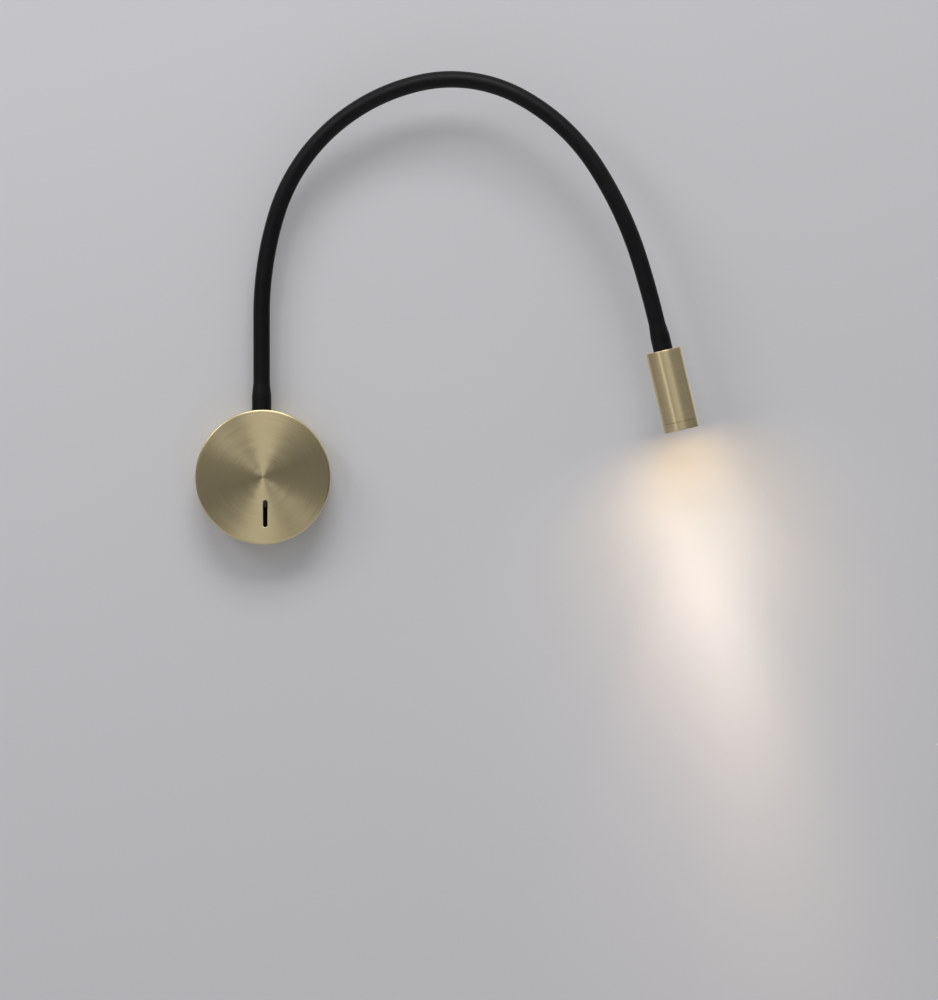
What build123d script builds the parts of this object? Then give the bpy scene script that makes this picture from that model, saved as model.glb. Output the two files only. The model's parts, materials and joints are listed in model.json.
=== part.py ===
"""Bedside wall reading lamp: a turned wall base with a slide dimmer, a gooseneck arm and a tube head.

Millimetres and degrees. +Z is up, the wall is the plane Y = 0 and the lamp stands out towards -Y.
The origin is the middle of the wall bracket's back face.
The arm is a row of stiff lengths. Neighbours meet in a ball and cup, where the hose bends.
"""
from build123d import *
import os
from math import cos, pi, radians

os.makedirs("parts", exist_ok=True)

# ------------------------------------------------------------------ clearances
FIT = 0.05              # between fixed round parts that fit into each other
SLIDE_GAP = 0.2         # beside a sliding part
BALL_GAP = 0.3          # between a ball and its cup

# ------------------------------------------------------------------ screw heads, as shares of the head
PAN_CROWN = 0.35
CROSS_LENGTH = 0.55
CROSS_WIDTH = 0.14

# ------------------------------------------------------------------ base cover
COVER_D = 100.0
COVER_DEPTH = 27.0
COVER_WALL = 2.0
COVER_FACE = 2.5
COVER_EDGE = 1.3        # rounding of the front edge
COVER_INNER_EDGE = 1.5  # bevel in the inside corner
SLOT_LENGTH = 20.0
SLOT_WIDTH = 3.3
SLOT_X = 1.9
SLOT_Z = -27.3
SLOT_BREAK = 0.25       # chamfer round the slot
GRUB_D = 3.0
GRUB_LENGTH = 5.0
GRUB_SOCKET = 1.5
GRUB_POINT = 0.5        # chamfer at the screw's point
GRUB_ANGLES = (210.0, 330.0)
GRUB_HEIGHT = 9.0       # above the wall

# ------------------------------------------------------------------ wall bracket
BRACKET_T = 1.5
BRACKET_GAP = 0.7       # between the bracket's edge and the cover's inside
FIX_SPACING = 60.0      # between the two screws of a wall box
FIX_SLOT_LENGTH = 10.0
FIX_SLOT_WIDTH = 4.5
TAB_WIDTH = 14.0
TAB_HEIGHT = 13.5       # above the wall
TAB_INSET = 1.6         # from the cover's inside to the tab's outer face
TAB_BEND = 1.5
BUSH_HOLE_D = 16.0
BUSH_BORE_D = 9.0
BUSH_FLANGE_D = 20.0
BUSH_FLANGE_T = 1.4
BUSH_EDGE = 0.7
STIFFEN_D = 36.0        # pressed ring that stiffens the disc
STIFFEN_WIDTH = 2.4
STIFFEN_RISE = 0.8

# ------------------------------------------------------------------ mains terminals
BLOCK_X = 22.0
BLOCK_Y = 24.5
BLOCK_POLES = 2
BLOCK_PITCH = 8.0
BLOCK_END = 2.5         # plastic past the last pole
BLOCK_DEPTH = 14.0
BLOCK_HEIGHT = 11.5
BLOCK_STEP = 4.0        # how far the block drops beside its screws
WIRE_HOLE_D = 3.4
WIRE_HEIGHT = 3.8       # from the bracket to the wires' axes
CLAMP_Y = 3.5           # from the block's middle to its screws
CLAMP_D = 3.6
CLAMP_HEAD_H = 2.0
CLAMP_SLOT = 0.8
EARTH_X = -20.0
EARTH_Y = -26.0
EARTH_SCREW_D = 4.0
EARTH_HEAD_D = 8.0
EARTH_HEAD_H = 2.6
EARTH_RING_D = 9.5
EARTH_TAG_T = 0.8
EARTH_TAIL_LENGTH = 14.0
EARTH_TAIL_WIDTH = 4.0

# ------------------------------------------------------------------ inner carrier
SADDLE_D = 18.0
SADDLE_T = 2.5          # at its middle, where it is thinnest
CARRIER_T = 1.2
CARRIER_GAP = 1.0       # from the carrier to the cover's face
FLANGE_WIDTH = 20.0
FLANGE_DEPTH = 20.0
CARRIER_BEND = 1.0
CARRIER_MID_WIDTH = 64.0
CARRIER_LOW_WIDTH = 30.0
CARRIER_LOW_END = -44.0
CARRIER_CORNER = 3.0
CARRIER_SLOT_GAP = 0.6  # round the lever's slot in the cover

# ------------------------------------------------------------------ driver
DRIVER_WIDTH = 48.0
DRIVER_HEIGHT = 24.0
DRIVER_DEPTH = 14.0
DRIVER_Y = 3.5
DRIVER_CORNER = 1.5
DRIVER_BREAK = 0.75     # chamfer round the case's back
EAR_LENGTH = 7.0
EAR_WIDTH = 10.0
EAR_T = 2.0
EAR_SCREW_D = 3.0
EAR_HEAD_D = 5.5
EAR_HEAD_H = 2.0
GLAND_D = 6.0
GLAND_LENGTH = 3.0

# ------------------------------------------------------------------ dimmer
LEVER_TRAVEL = 14.0
LEVER_LENGTH = 5.0
LEVER_WIDTH = 2.7
LEVER_PROUD = 1.0       # above the cover's face
LEVER_END_GAP = 0.4
LEVER_EDGE = 0.4
STEM_LENGTH = 3.6
TRACK_WIDTH = 9.0
TRACK_LENGTH = 30.0
TRACK_DEPTH = 6.5
TRACK_GROOVE_WIDTH = 2.4
TRACK_GROOVE_DEPTH = 5.0
TRACK_GROOVE_END = 1.0  # groove past the stem at each end of its travel
WIPER_T = 0.4
WIPER_FOOT = 0.9        # from the stem's middle to each foot
BOARD_T = 1.6
BOARD_WIDTH = 26.0
BOARD_LENGTH = 30.0
SPACER_D = 4.5
SPACER_X = 9.5
BOARD_SCREW_D = 2.5
BOARD_HEAD_D = 4.5
BOARD_HEAD_H = 1.7
JUMPER_D = 1.2
JUMPER_PITCH = 2.5
JUMPER_COUNT = 3

# ------------------------------------------------------------------ ferrules and nuts
ARM_X = -1.2
ARM_STANDOFF = 13.0     # from the wall to the arm's axis at the base
SHANK_D = 10.0
SHANK_LENGTH = 14.0
HEAD_SHANK_LENGTH = 11.0
FERRULE_D = 12.5
FERRULE_LENGTH = 10.5
FERRULE_SEAT = 2.0      # metal under the hose's end
NUT_FLATS = 14.0
NUT_T = 5.0
NUT_BREAK = 0.6
LOCK_D = 15.0
LOCK_T = 1.0

# ------------------------------------------------------------------ arm
SLEEVE_D = 12.4
FLARE_D = 14.5
TAPER_LENGTH = 9.5
HOSE_D = 10.4
HOSE_BORE_D = 5.0
LEAD_D = 3.2
LEAD_ROOM = 0.3         # round the lead
CUP_RIM = 2.6           # from the middle of a ball to the rim of its cup
CUP_FLOOR = 2.0         # rubber behind a cup and behind a ball
END_LENGTH = 50.0       # curved length of the first and last stretch
LINK_LENGTH = 76.3      # each stretch between two balls
LINK_TURNS = (17.1, 31.0, 29.7, 40.3, 28.7, 15.6)
HEAD_TURN = 4.3
ARM_LEAN = 3.05         # the arm leaves the base leaning off the wall
ARM_SKEW = 5.7          # and its arch swings off the wall towards the head

# ------------------------------------------------------------------ head
HEAD_D = 26.8
HEAD_LENGTH = 60.5
HEAD_WALL = 1.6
HEAD_TOP = 3.0
HEAD_EDGE = 0.5
RING_LENGTH = 6.5
RING_SEAM = 0.25
RING_THREAD_LENGTH = 4.0
RING_THREAD_WALL = 0.9
RING_LIP = 1.2
RING_BORE_D = 19.6
RING_MOUTH_BREAK = 0.25
GLASS_D = 21.2
GLASS_T = 1.6
GLASS_BREAK = 0.2
GASKET_T = 0.6
SLUG_START = 22.0       # from the head's top
SLUG_GROOVE_WIDTH = 4.6
SLUG_GROOVE_DEPTH = 6.6
SLUG_GROOVES = 4        # turned all round
SLUG_GROOVE_T = 1.2
SLUG_GROOVE_CUT = 1.6
LED_BOARD_D = 20.8
LED_BOARD_T = 1.6
LED_NOTCH_D = 4.4
LED_SIZE = 5.0
LED_T = 0.9
LED_CORNER = 0.6
LED_DOME_D = 4.2
LED_SCREW_D = 2.0
LED_SCREW_LENGTH = 6.0
LED_HEAD_D = 3.6
LED_HEAD_H = 1.3
LED_SCREW_X = 8.2
OPTIC_HEIGHT = 10.3     # from the LED board to the glass
OPTIC_BASE_D = 9.6
OPTIC_RIM_T = 1.2
OPTIC_POCKET_D = 8.0
OPTIC_POCKET_H = 5.0
LEAD_SHIFT = 8.6        # from the head's axis to the lead in the slug's groove
LEAD_DROP_START = 14.5  # where the lead starts to move aside
LEAD_BEND_R = 5.0

# ------------------------------------------------------------------ derived sizes
COVER_R = COVER_D / 2
COVER_BORE_R = COVER_R - COVER_WALL
COVER_FACE_Z = COVER_DEPTH - COVER_FACE
CARRIER_FRONT = COVER_FACE_Z - CARRIER_GAP
CARRIER_BACK = CARRIER_FRONT - CARRIER_T
SADDLE_END = COVER_BORE_R - SADDLE_T
FLANGE_END = SADDLE_END - CARRIER_T
SLEEVE_R = SLEEVE_D / 2
HOSE_R = HOSE_D / 2
LEAD_R = LEAD_D / 2
LEAD_BORE_R = LEAD_R + LEAD_ROOM
CUP_R = SLEEVE_R + BALL_GAP
PLUG_END = CUP_R + CUP_FLOOR
HEAD_R = HEAD_D / 2
HEAD_BORE_R = HEAD_R - HEAD_WALL
RING_START = HEAD_LENGTH - RING_LENGTH
GLASS_FRONT = HEAD_LENGTH - RING_LIP - GASKET_T
GLASS_BACK = GLASS_FRONT - GLASS_T
LEVER_Y = SLOT_Z + SLOT_LENGTH / 2 - LEVER_END_GAP - LEVER_LENGTH / 2
LEVER_MID = LEVER_Y - LEVER_TRAVEL / 2
TRACK_BACK = CARRIER_BACK - TRACK_DEPTH
BOARD_BACK = TRACK_BACK - BOARD_T


# ------------------------------------------------------------------ frames
# On the wall: x to the right, y up, z out into the room.
ON_WALL = Plane(origin=(0, 0, 0), x_dir=(1, 0, 0), z_dir=(0, -1, 0)).location
# On a seat of the arm: z along the arm, away from the metal.
ROOT = Location((ARM_X, -ARM_STANDOFF, COVER_R))
QUARTER_TURN = 90.0
FLIP = Rot(2 * QUARTER_TURN, 0, 0)
LAY_ALONG_Y = Rot(-QUARTER_TURN, 0, 0)


def bend(length, turn):
    """Frame at the end of an arc that starts along +z and turns towards +x."""
    if turn == 0:
        return Pos(0, 0, length)
    arc_r = length / radians(turn)
    return Pos(arc_r, 0, 0) * Rot(0, turn, 0) * Pos(-arc_r, 0, 0)


def lean(length, turn):
    """Frame at the end of an arc that turns away from the wall."""
    return Rot(0, 0, -90) * bend(length, turn) * Rot(0, 0, 90)


LEAN_START = ROOT * Pos(0, 0, FERRULE_LENGTH + TAPER_LENGTH)
STATIONS = [LEAN_START * lean(END_LENGTH, ARM_LEAN) * Rot(0, 0, -ARM_SKEW)]
for link_turn in LINK_TURNS:
    STATIONS.append(STATIONS[-1] * bend(LINK_LENGTH, link_turn))
HEAD = STATIONS[-1] * bend(END_LENGTH, HEAD_TURN) * Pos(0, 0, FERRULE_LENGTH + TAPER_LENGTH)


# ------------------------------------------------------------------ shapes used more than once
def disc(radius, start, end):
    """Round bar along z between two heights."""
    return Pos(0, 0, start) * extrude(Circle(radius), end - start)


def ring(outer_r, inner_r, start, end):
    """Round bar with a bore."""
    return disc(outer_r, start, end) - disc(inner_r, start - 1, end + 1)


def slab(width, height, start, end, corner=0.0):
    """Flat plate on x and y between two heights, with round corners where asked."""
    outline = RectangleRounded(width, height, corner) if corner else Rectangle(width, height)
    return Pos(0, 0, start) * extrude(outline, end - start)


def slot_block(length, width, start, end):
    """Upright block with round ends, long in y."""
    return Pos(0, 0, start) * extrude(Rot(0, 0, 90) * SlotOverall(length, width), end - start)


def bar(radius, start, end, length, turn):
    """Round bar that follows an arc of the given length and turn between two distances along it."""
    rate = turn / length
    span = end - start
    if turn == 0:
        piece = extrude(Circle(radius), span)
    else:
        arc_r = 1 / radians(rate)
        piece = revolve(Circle(radius), Axis((arc_r, 0, 0), (0, 1, 0)), rate * span)
    return bend(start, rate * start) * piece


def hexagon_nut(flats, bore_r, start, end):
    """Hexagon nut along z with its corners turned off."""
    across_corners = flats / cos(pi / 6)
    blank = Pos(0, 0, start) * extrude(RegularPolygon(across_corners / 2, 6), end - start)
    turned = disc(across_corners / 2, start, end)
    turned = chamfer(turned.edges().filter_by(GeomType.CIRCLE), NUT_BREAK)
    return (blank & turned) - disc(bore_r, start - 1, end + 1)


def pan_screw(shank_d, shank_length, head_d, head_h):
    """Screw with its head on +z, seated at z = 0, with a cross recess."""
    head = disc(head_d / 2, 0, head_h)
    head = chamfer(head.edges().group_by(Axis.Z)[-1], head_h * PAN_CROWN)
    cross_long = head_d * CROSS_LENGTH
    cross_thin = head_d * CROSS_WIDTH
    cross = slab(cross_long, cross_thin, head_h / 2, head_h + 1)
    cross += slab(cross_thin, cross_long, head_h / 2, head_h + 1)
    return head + disc(shank_d / 2, -shank_length, 0) - cross


def lock_washer(start):
    """Split spring washer under a shank nut, from start towards -z."""
    washer = ring(LOCK_D / 2, SHANK_D / 2 + FIT, start - LOCK_T, start)
    split = Pos(LOCK_D / 2, 0, start - LOCK_T / 2) * Box(LOCK_D / 2, LOCK_T, 2 * LOCK_T)
    return washer - split


# ------------------------------------------------------------------ base cover
def base_cover():
    """Turned cup with the lever's slot, the arm's hole and two tapped holes for the grub screws."""
    cup = disc(COVER_R, 0, COVER_DEPTH)
    cup = fillet(cup.edges().group_by(Axis.Z)[-1], COVER_EDGE)
    hollow = disc(COVER_BORE_R, -1, COVER_FACE_Z)
    hollow = chamfer(hollow.edges().group_by(Axis.Z)[-1], COVER_INNER_EDGE)
    cup -= hollow
    slot = Pos(SLOT_X, SLOT_Z, 0) * slot_block(SLOT_LENGTH, SLOT_WIDTH, COVER_FACE_Z - 1, COVER_DEPTH + 1)
    cup -= slot
    mouth = cup.faces().group_by(Axis.Z)[-1].sort_by(Axis.Z)[-1].inner_wires()[0].edges()
    cup = chamfer(mouth, SLOT_BREAK)
    arm_hole = Pos(ARM_X, 0, ARM_STANDOFF) * LAY_ALONG_Y * disc(SHANK_D / 2 + FIT, COVER_R / 2, COVER_R + 1)
    cup -= arm_hole
    for angle in GRUB_ANGLES:
        cup -= grub_frame(angle) * disc(GRUB_D / 2 + FIT, -COVER_WALL * 2, 1)
    return ON_WALL * cup


def grub_frame(angle):
    """Frame on the cover's outside with z outwards."""
    return Rot(0, 0, angle) * Pos(COVER_R, 0, GRUB_HEIGHT) * Rot(0, 90, 0)


def cover_grub_screws():
    """Two headless screws that reach from the cover through the bracket's tabs."""
    screws = []
    for angle in GRUB_ANGLES:
        screw = disc(GRUB_D / 2, -GRUB_LENGTH - FIT, -FIT)
        screw = chamfer(screw.edges().group_by(Axis.Z)[0], GRUB_POINT)
        socket = Pos(0, 0, -GRUB_LENGTH / 2) * extrude(RegularPolygon(GRUB_SOCKET / 2, 6), GRUB_LENGTH)
        screws.append(ON_WALL * grub_frame(angle) * (screw - socket))
    return Compound(screws)


# ------------------------------------------------------------------ wall bracket
def wall_bracket():
    """Pressed steel disc with two slotted holes, a cable hole and two upturned tabs."""
    plate_r = COVER_BORE_R - BRACKET_GAP
    tab_face = COVER_BORE_R - TAB_INSET
    plate = disc(plate_r, 0, BRACKET_T)
    rib_r = STIFFEN_D / 2
    plate += ring(rib_r + STIFFEN_WIDTH / 2, rib_r - STIFFEN_WIDTH / 2, BRACKET_T / 2, BRACKET_T + STIFFEN_RISE)
    for angle in GRUB_ANGLES:
        turned = Rot(0, 0, angle)
        plate -= turned * Pos(tab_face + COVER_WALL, 0, 0) * Box(2 * COVER_WALL, 2 * plate_r, 4 * BRACKET_T)
        plate += turned * bracket_tab(tab_face)
    for side in (-1, 1):
        slot = Rot(0, 0, 90) * slot_block(FIX_SLOT_LENGTH, FIX_SLOT_WIDTH, -1, 2 * BRACKET_T)
        plate -= Pos(side * FIX_SPACING / 2, 0, 0) * slot
    plate -= disc(BUSH_HOLE_D / 2, -1, 2 * BRACKET_T)
    plate -= Pos(EARTH_X, EARTH_Y, 0) * disc(EARTH_SCREW_D / 2 + FIT, -1, 4 * BRACKET_T)
    return ON_WALL * plate


def bracket_tab(outer_face):
    """Upturned ear of the bracket at angle 0, with its tapped hole."""
    profile = Polyline(
        (outer_face - BRACKET_T - 2 * TAB_BEND, 0), (outer_face, 0), (outer_face, TAB_HEIGHT),
        (outer_face - BRACKET_T, TAB_HEIGHT), (outer_face - BRACKET_T, BRACKET_T + TAB_BEND),
        (outer_face - BRACKET_T - TAB_BEND, BRACKET_T), (outer_face - BRACKET_T - 2 * TAB_BEND, BRACKET_T),
        close=True)
    ear = extrude(Plane.XZ * make_face(profile), TAB_WIDTH / 2, both=True)
    hole = Pos(outer_face, 0, GRUB_HEIGHT) * Rot(0, 90, 0) * disc(GRUB_D / 2 + FIT, -2 * BRACKET_T, 1)
    return ear - hole


def cable_bush():
    """Rubber bush, flush with the bracket's back, that the house wires pass through."""
    bush = disc(BUSH_HOLE_D / 2 - FIT, 0, BRACKET_T) + disc(BUSH_FLANGE_D / 2, BRACKET_T, BRACKET_T + BUSH_FLANGE_T)
    bush = chamfer(bush.edges().group_by(Axis.Z)[-1], BUSH_EDGE)
    return ON_WALL * (bush - disc(BUSH_BORE_D / 2, -1, 2 * BRACKET_T + BUSH_FLANGE_T))


# ------------------------------------------------------------------ mains terminals
def block_poles():
    """Places of the block's poles along x, from its middle."""
    first = -BLOCK_PITCH * (BLOCK_POLES - 1) / 2
    return [first + BLOCK_PITCH * pole for pole in range(BLOCK_POLES)]


def terminal_block():
    """Stepped plastic block with two wire holes and two screw wells for each pole."""
    width = BLOCK_PITCH * (BLOCK_POLES - 1) + BLOCK_PITCH + 2 * BLOCK_END
    top = BRACKET_T + BLOCK_HEIGHT
    block = slab(width, BLOCK_DEPTH, BRACKET_T, top, DRIVER_CORNER)
    for side in (-1, 1):
        block -= Pos(side * width / 2, 0, top) * Box(2 * BLOCK_END, BLOCK_DEPTH + 1, 2 * BLOCK_STEP)
    for x in block_poles():
        wire = Pos(x, 0, BRACKET_T + WIRE_HEIGHT) * LAY_ALONG_Y
        block -= wire * disc(WIRE_HOLE_D / 2, -BLOCK_DEPTH, BLOCK_DEPTH)
        for y in (-CLAMP_Y, CLAMP_Y):
            block -= Pos(x, y, 0) * disc(CLAMP_D / 2 + FIT, BRACKET_T + WIRE_HEIGHT, top + 1)
    return ON_WALL * Pos(BLOCK_X, BLOCK_Y, 0) * block


def terminal_screws():
    """Slotted clamp screws in the block's wells."""
    screws = []
    low = BRACKET_T + WIRE_HEIGHT + WIRE_HOLE_D / 2
    top = BRACKET_T + BLOCK_HEIGHT - CLAMP_HEAD_H
    for x in block_poles():
        for y in (-CLAMP_Y, CLAMP_Y):
            screw = disc(CLAMP_D / 2, low, top) - Pos(0, 0, top) * Box(CLAMP_D * 2, CLAMP_SLOT, CLAMP_SLOT * 2)
            screws.append(ON_WALL * Pos(BLOCK_X + x, BLOCK_Y + y, 0) * screw)
    return Compound(screws)


def earth_tag():
    """Ring terminal with its crimp tail, under the earth screw."""
    tag = disc(EARTH_RING_D / 2, BRACKET_T, BRACKET_T + EARTH_TAG_T)
    tail = Pos(0, EARTH_TAIL_LENGTH / 2, 0) * slab(EARTH_TAIL_WIDTH, EARTH_TAIL_LENGTH, BRACKET_T,
                                                   BRACKET_T + EARTH_TAG_T)
    crimp_r = EARTH_TAIL_WIDTH / 2
    crimp = Pos(0, EARTH_TAIL_LENGTH, BRACKET_T + crimp_r) * LAY_ALONG_Y * ring(
        crimp_r, crimp_r - EARTH_TAG_T, -EARTH_TAIL_LENGTH / 2, 0)
    tag = tag + tail + crimp - disc(EARTH_SCREW_D / 2 + FIT, 0, 4 * BRACKET_T)
    return ON_WALL * Pos(EARTH_X, EARTH_Y, 0) * tag


def earth_screw():
    """Pan screw through the tag into the bracket."""
    screw = pan_screw(EARTH_SCREW_D, BRACKET_T + EARTH_TAG_T, EARTH_HEAD_D, EARTH_HEAD_H)
    return ON_WALL * Pos(EARTH_X, EARTH_Y, BRACKET_T + EARTH_TAG_T) * screw


# ------------------------------------------------------------------ carrier and driver
def inner_carrier():
    """Bent steel sheet: a flange under the arm's nut and a plate behind the cover's face."""
    top = SADDLE_END
    plate = Pos(0, (top + CARRIER_LOW_END) / 2, 0) * slab(
        FLANGE_WIDTH, top - CARRIER_LOW_END, CARRIER_BACK, CARRIER_FRONT)
    plate += Pos(0, DRIVER_Y, 0) * slab(CARRIER_MID_WIDTH, DRIVER_HEIGHT, CARRIER_BACK, CARRIER_FRONT, CARRIER_CORNER)
    low_height = DRIVER_Y - CARRIER_LOW_END
    plate += Pos(SLOT_X, CARRIER_LOW_END + low_height / 2, 0) * slab(
        CARRIER_LOW_WIDTH, low_height, CARRIER_BACK, CARRIER_FRONT, CARRIER_CORNER)
    flange_low = CARRIER_FRONT - FLANGE_DEPTH
    flange = Pos(0, top - CARRIER_T / 2, (flange_low + CARRIER_FRONT) / 2) * Box(
        FLANGE_WIDTH, CARRIER_T, CARRIER_FRONT - flange_low)
    sheet = plate + flange
    outer_corner = sheet.edges().filter_by(Axis.X).group_by(Axis.Z)[-1].sort_by(Axis.Y)[-1]
    sheet = fillet(outer_corner, CARRIER_BEND)
    sheet -= Pos(ARM_X, 0, ARM_STANDOFF) * LAY_ALONG_Y * disc(SHANK_D / 2 + FIT, COVER_R / 2, COVER_R)
    sheet -= Pos(SLOT_X, SLOT_Z, 0) * slot_block(
        SLOT_LENGTH + 2 * CARRIER_SLOT_GAP, SLOT_WIDTH + 2 * CARRIER_SLOT_GAP, CARRIER_BACK - 1, COVER_FACE_Z)
    for x, y in ear_holes():
        sheet -= Pos(x, y, 0) * disc(EAR_SCREW_D / 2 + FIT, CARRIER_BACK - 1, COVER_FACE_Z)
    for x, y in spacer_places():
        sheet -= Pos(x, y, 0) * disc(BOARD_SCREW_D / 2 + FIT, CARRIER_BACK - 1, COVER_FACE_Z)
    return ON_WALL * sheet


def ear_holes():
    """Places of the driver's two screws."""
    reach = (DRIVER_WIDTH + EAR_LENGTH) / 2
    return [(-reach, DRIVER_Y), (reach, DRIVER_Y)]


def spacer_places():
    """Places of the dimmer board's two spacers, each side of the track."""
    return [(SLOT_X - SPACER_X, SLOT_Z), (SLOT_X + SPACER_X, SLOT_Z)]


def driver_case():
    """Potted driver with two screw ears and a gland for the lamp lead."""
    back = CARRIER_BACK - DRIVER_DEPTH
    case = Pos(0, DRIVER_Y, 0) * slab(DRIVER_WIDTH, DRIVER_HEIGHT, back, CARRIER_BACK, DRIVER_CORNER)
    case = chamfer(case.edges().group_by(Axis.Z)[0], DRIVER_BREAK)
    ears = Pos(0, DRIVER_Y, 0) * slab(DRIVER_WIDTH + 2 * EAR_LENGTH, EAR_WIDTH, CARRIER_BACK - EAR_T,
                                      CARRIER_BACK, DRIVER_CORNER)
    top = DRIVER_Y + DRIVER_HEIGHT / 2
    gland = Pos(ARM_X, 0, ARM_STANDOFF) * LAY_ALONG_Y * disc(GLAND_D / 2, top - 1, top + GLAND_LENGTH)
    case = case + ears + gland
    case -= Pos(ARM_X, 0, ARM_STANDOFF) * LAY_ALONG_Y * disc(LEAD_R + FIT, top - GLAND_LENGTH, top + GLAND_LENGTH + 1)
    for x, y in ear_holes():
        case -= Pos(x, y, 0) * disc(EAR_SCREW_D / 2 + FIT, back, CARRIER_BACK + 1)
    return ON_WALL * case


def driver_screws():
    """Two pan screws through the driver's ears into the carrier."""
    screws = []
    for x, y in ear_holes():
        screw = pan_screw(EAR_SCREW_D, EAR_T + CARRIER_T, EAR_HEAD_D, EAR_HEAD_H)
        screws.append(ON_WALL * Pos(x, y, CARRIER_BACK - EAR_T) * FLIP * screw)
    return Compound(screws)


# ------------------------------------------------------------------ dimmer
def slide_track():
    """Slide resistor's body with the groove that its lever runs in."""
    body = Pos(SLOT_X, LEVER_MID, 0) * slab(TRACK_WIDTH, TRACK_LENGTH, TRACK_BACK, CARRIER_BACK)
    run = LEVER_TRAVEL + STEM_LENGTH + 2 * TRACK_GROOVE_END
    groove = Pos(SLOT_X, LEVER_MID, 0) * slab(
        TRACK_GROOVE_WIDTH, run, CARRIER_BACK - TRACK_GROOVE_DEPTH, CARRIER_BACK + 1)
    return ON_WALL * (body - groove)


def dimmer_lever():
    """Black finger tip in the slot, on a flat stem that reaches into the track."""
    tip = slot_block(LEVER_LENGTH, LEVER_WIDTH, CARRIER_FRONT - CARRIER_T / 2, COVER_DEPTH + LEVER_PROUD)
    tip = chamfer(tip.edges().group_by(Axis.Z)[-1], LEVER_EDGE)
    stem_end = CARRIER_BACK - TRACK_GROOVE_DEPTH + 2 * WIPER_T + SLIDE_GAP
    stem = slab(TRACK_GROOVE_WIDTH - 2 * SLIDE_GAP, STEM_LENGTH, stem_end, CARRIER_FRONT)
    return ON_WALL * Pos(SLOT_X, LEVER_Y, 0) * (tip + stem)


def dimmer_wiper():
    """Sprung contact under the stem, two bowed legs that run on the track."""
    floor = CARRIER_BACK - TRACK_GROOVE_DEPTH + SLIDE_GAP
    crown = floor + 2 * WIPER_T
    profile = Polyline(
        (-STEM_LENGTH / 2, floor + WIPER_T / 2), (-WIPER_FOOT, floor), (0, crown - WIPER_T),
        (WIPER_FOOT, floor), (STEM_LENGTH / 2, floor + WIPER_T / 2), (STEM_LENGTH / 2, floor + WIPER_T),
        (WIPER_FOOT, floor + WIPER_T / 2), (0, crown), (-WIPER_FOOT, floor + WIPER_T / 2),
        (-STEM_LENGTH / 2, floor + WIPER_T), close=True)
    wiper = extrude(Plane.YZ * make_face(profile), TRACK_GROOVE_WIDTH / 2 - SLIDE_GAP, both=True)
    return ON_WALL * Pos(SLOT_X, LEVER_Y, 0) * wiper


def dimmer_board():
    """Circuit board behind the track."""
    board = Pos(SLOT_X, SLOT_Z, 0) * slab(BOARD_WIDTH, BOARD_LENGTH, BOARD_BACK, TRACK_BACK, DRIVER_CORNER)
    for x, y in spacer_places():
        board -= Pos(x, y, 0) * disc(BOARD_SCREW_D / 2 + FIT, BOARD_BACK - 1, TRACK_BACK + 1)
    return ON_WALL * board


def board_spacers():
    """Two tubes between the board and the carrier."""
    return Compound([
        ON_WALL * Pos(x, y, 0) * ring(SPACER_D / 2, BOARD_SCREW_D / 2 + FIT, TRACK_BACK, CARRIER_BACK)
        for x, y in spacer_places()])


def board_screws():
    """Two pan screws through the board and its spacers into the carrier."""
    reach = BOARD_T + TRACK_DEPTH + CARRIER_T
    screw = pan_screw(BOARD_SCREW_D, reach, BOARD_HEAD_D, BOARD_HEAD_H)
    return Compound([ON_WALL * Pos(x, y, BOARD_BACK) * FLIP * screw for x, y in spacer_places()])


def dimmer_wires():
    """Three short wires from the board's edge to the driver."""
    start = SLOT_Z + BOARD_LENGTH / 2
    end = DRIVER_Y - DRIVER_HEIGHT / 2
    wires = []
    for number in range(JUMPER_COUNT):
        x = SLOT_X + JUMPER_PITCH * (number - (JUMPER_COUNT - 1) / 2)
        wires.append(ON_WALL * Pos(x, 0, BOARD_BACK + BOARD_T / 2) * LAY_ALONG_Y * disc(JUMPER_D / 2, start, end))
    return Compound(wires)


# ------------------------------------------------------------------ ferrules, washers and nuts
def ferrule(shank_length, collar_start):
    """Turned fitting: a hollow threaded shank on -z and the collar that holds the hose on +z."""
    collar = disc(FERRULE_D / 2, collar_start, FERRULE_LENGTH)
    collar -= disc(HOSE_R + FIT, FERRULE_SEAT, FERRULE_LENGTH + 1)
    shank = disc(SHANK_D / 2, -shank_length, FERRULE_SEAT)
    shank = chamfer(shank.edges().group_by(Axis.Z)[0], NUT_BREAK)
    return collar, shank - disc(LEAD_BORE_R, -shank_length - 1, FERRULE_SEAT + 1)


def cover_cylinder(radius):
    """The cover's cylinder, seen from the arm's seat."""
    return ROOT.inverse() * ON_WALL * disc(radius, -COVER_DEPTH, 2 * COVER_DEPTH)


def root_ferrule():
    """Ferrule at the base, its collar saddled to the cover's round side."""
    collar, shank = ferrule(SHANK_LENGTH, -1)
    collar -= cover_cylinder(COVER_R + FIT)
    return ROOT * (collar - disc(LEAD_BORE_R, -2, FERRULE_SEAT + 1) + shank)


def saddle_washer():
    """Washer that is round like the cover's inside on one face and flat on the other."""
    start = SADDLE_END - COVER_R
    washer = ring(SADDLE_D / 2, SHANK_D / 2 + FIT, start, 0)
    return ROOT * (washer & cover_cylinder(COVER_BORE_R - FIT))


def root_lock_washer():
    """Split washer under the root nut."""
    return ROOT * lock_washer(FLANGE_END - COVER_R)


def root_nut():
    """Nut that clamps the arm and the carrier to the cover."""
    start = FLANGE_END - COVER_R - LOCK_T
    return ROOT * hexagon_nut(NUT_FLATS, SHANK_D / 2 + FIT, start - NUT_T, start)


def head_ferrule():
    """Ferrule in the head's flat top."""
    collar, shank = ferrule(HEAD_SHANK_LENGTH, 0)
    return HEAD * FLIP * (collar + shank - disc(LEAD_BORE_R, -1, FERRULE_SEAT + 1))


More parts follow.
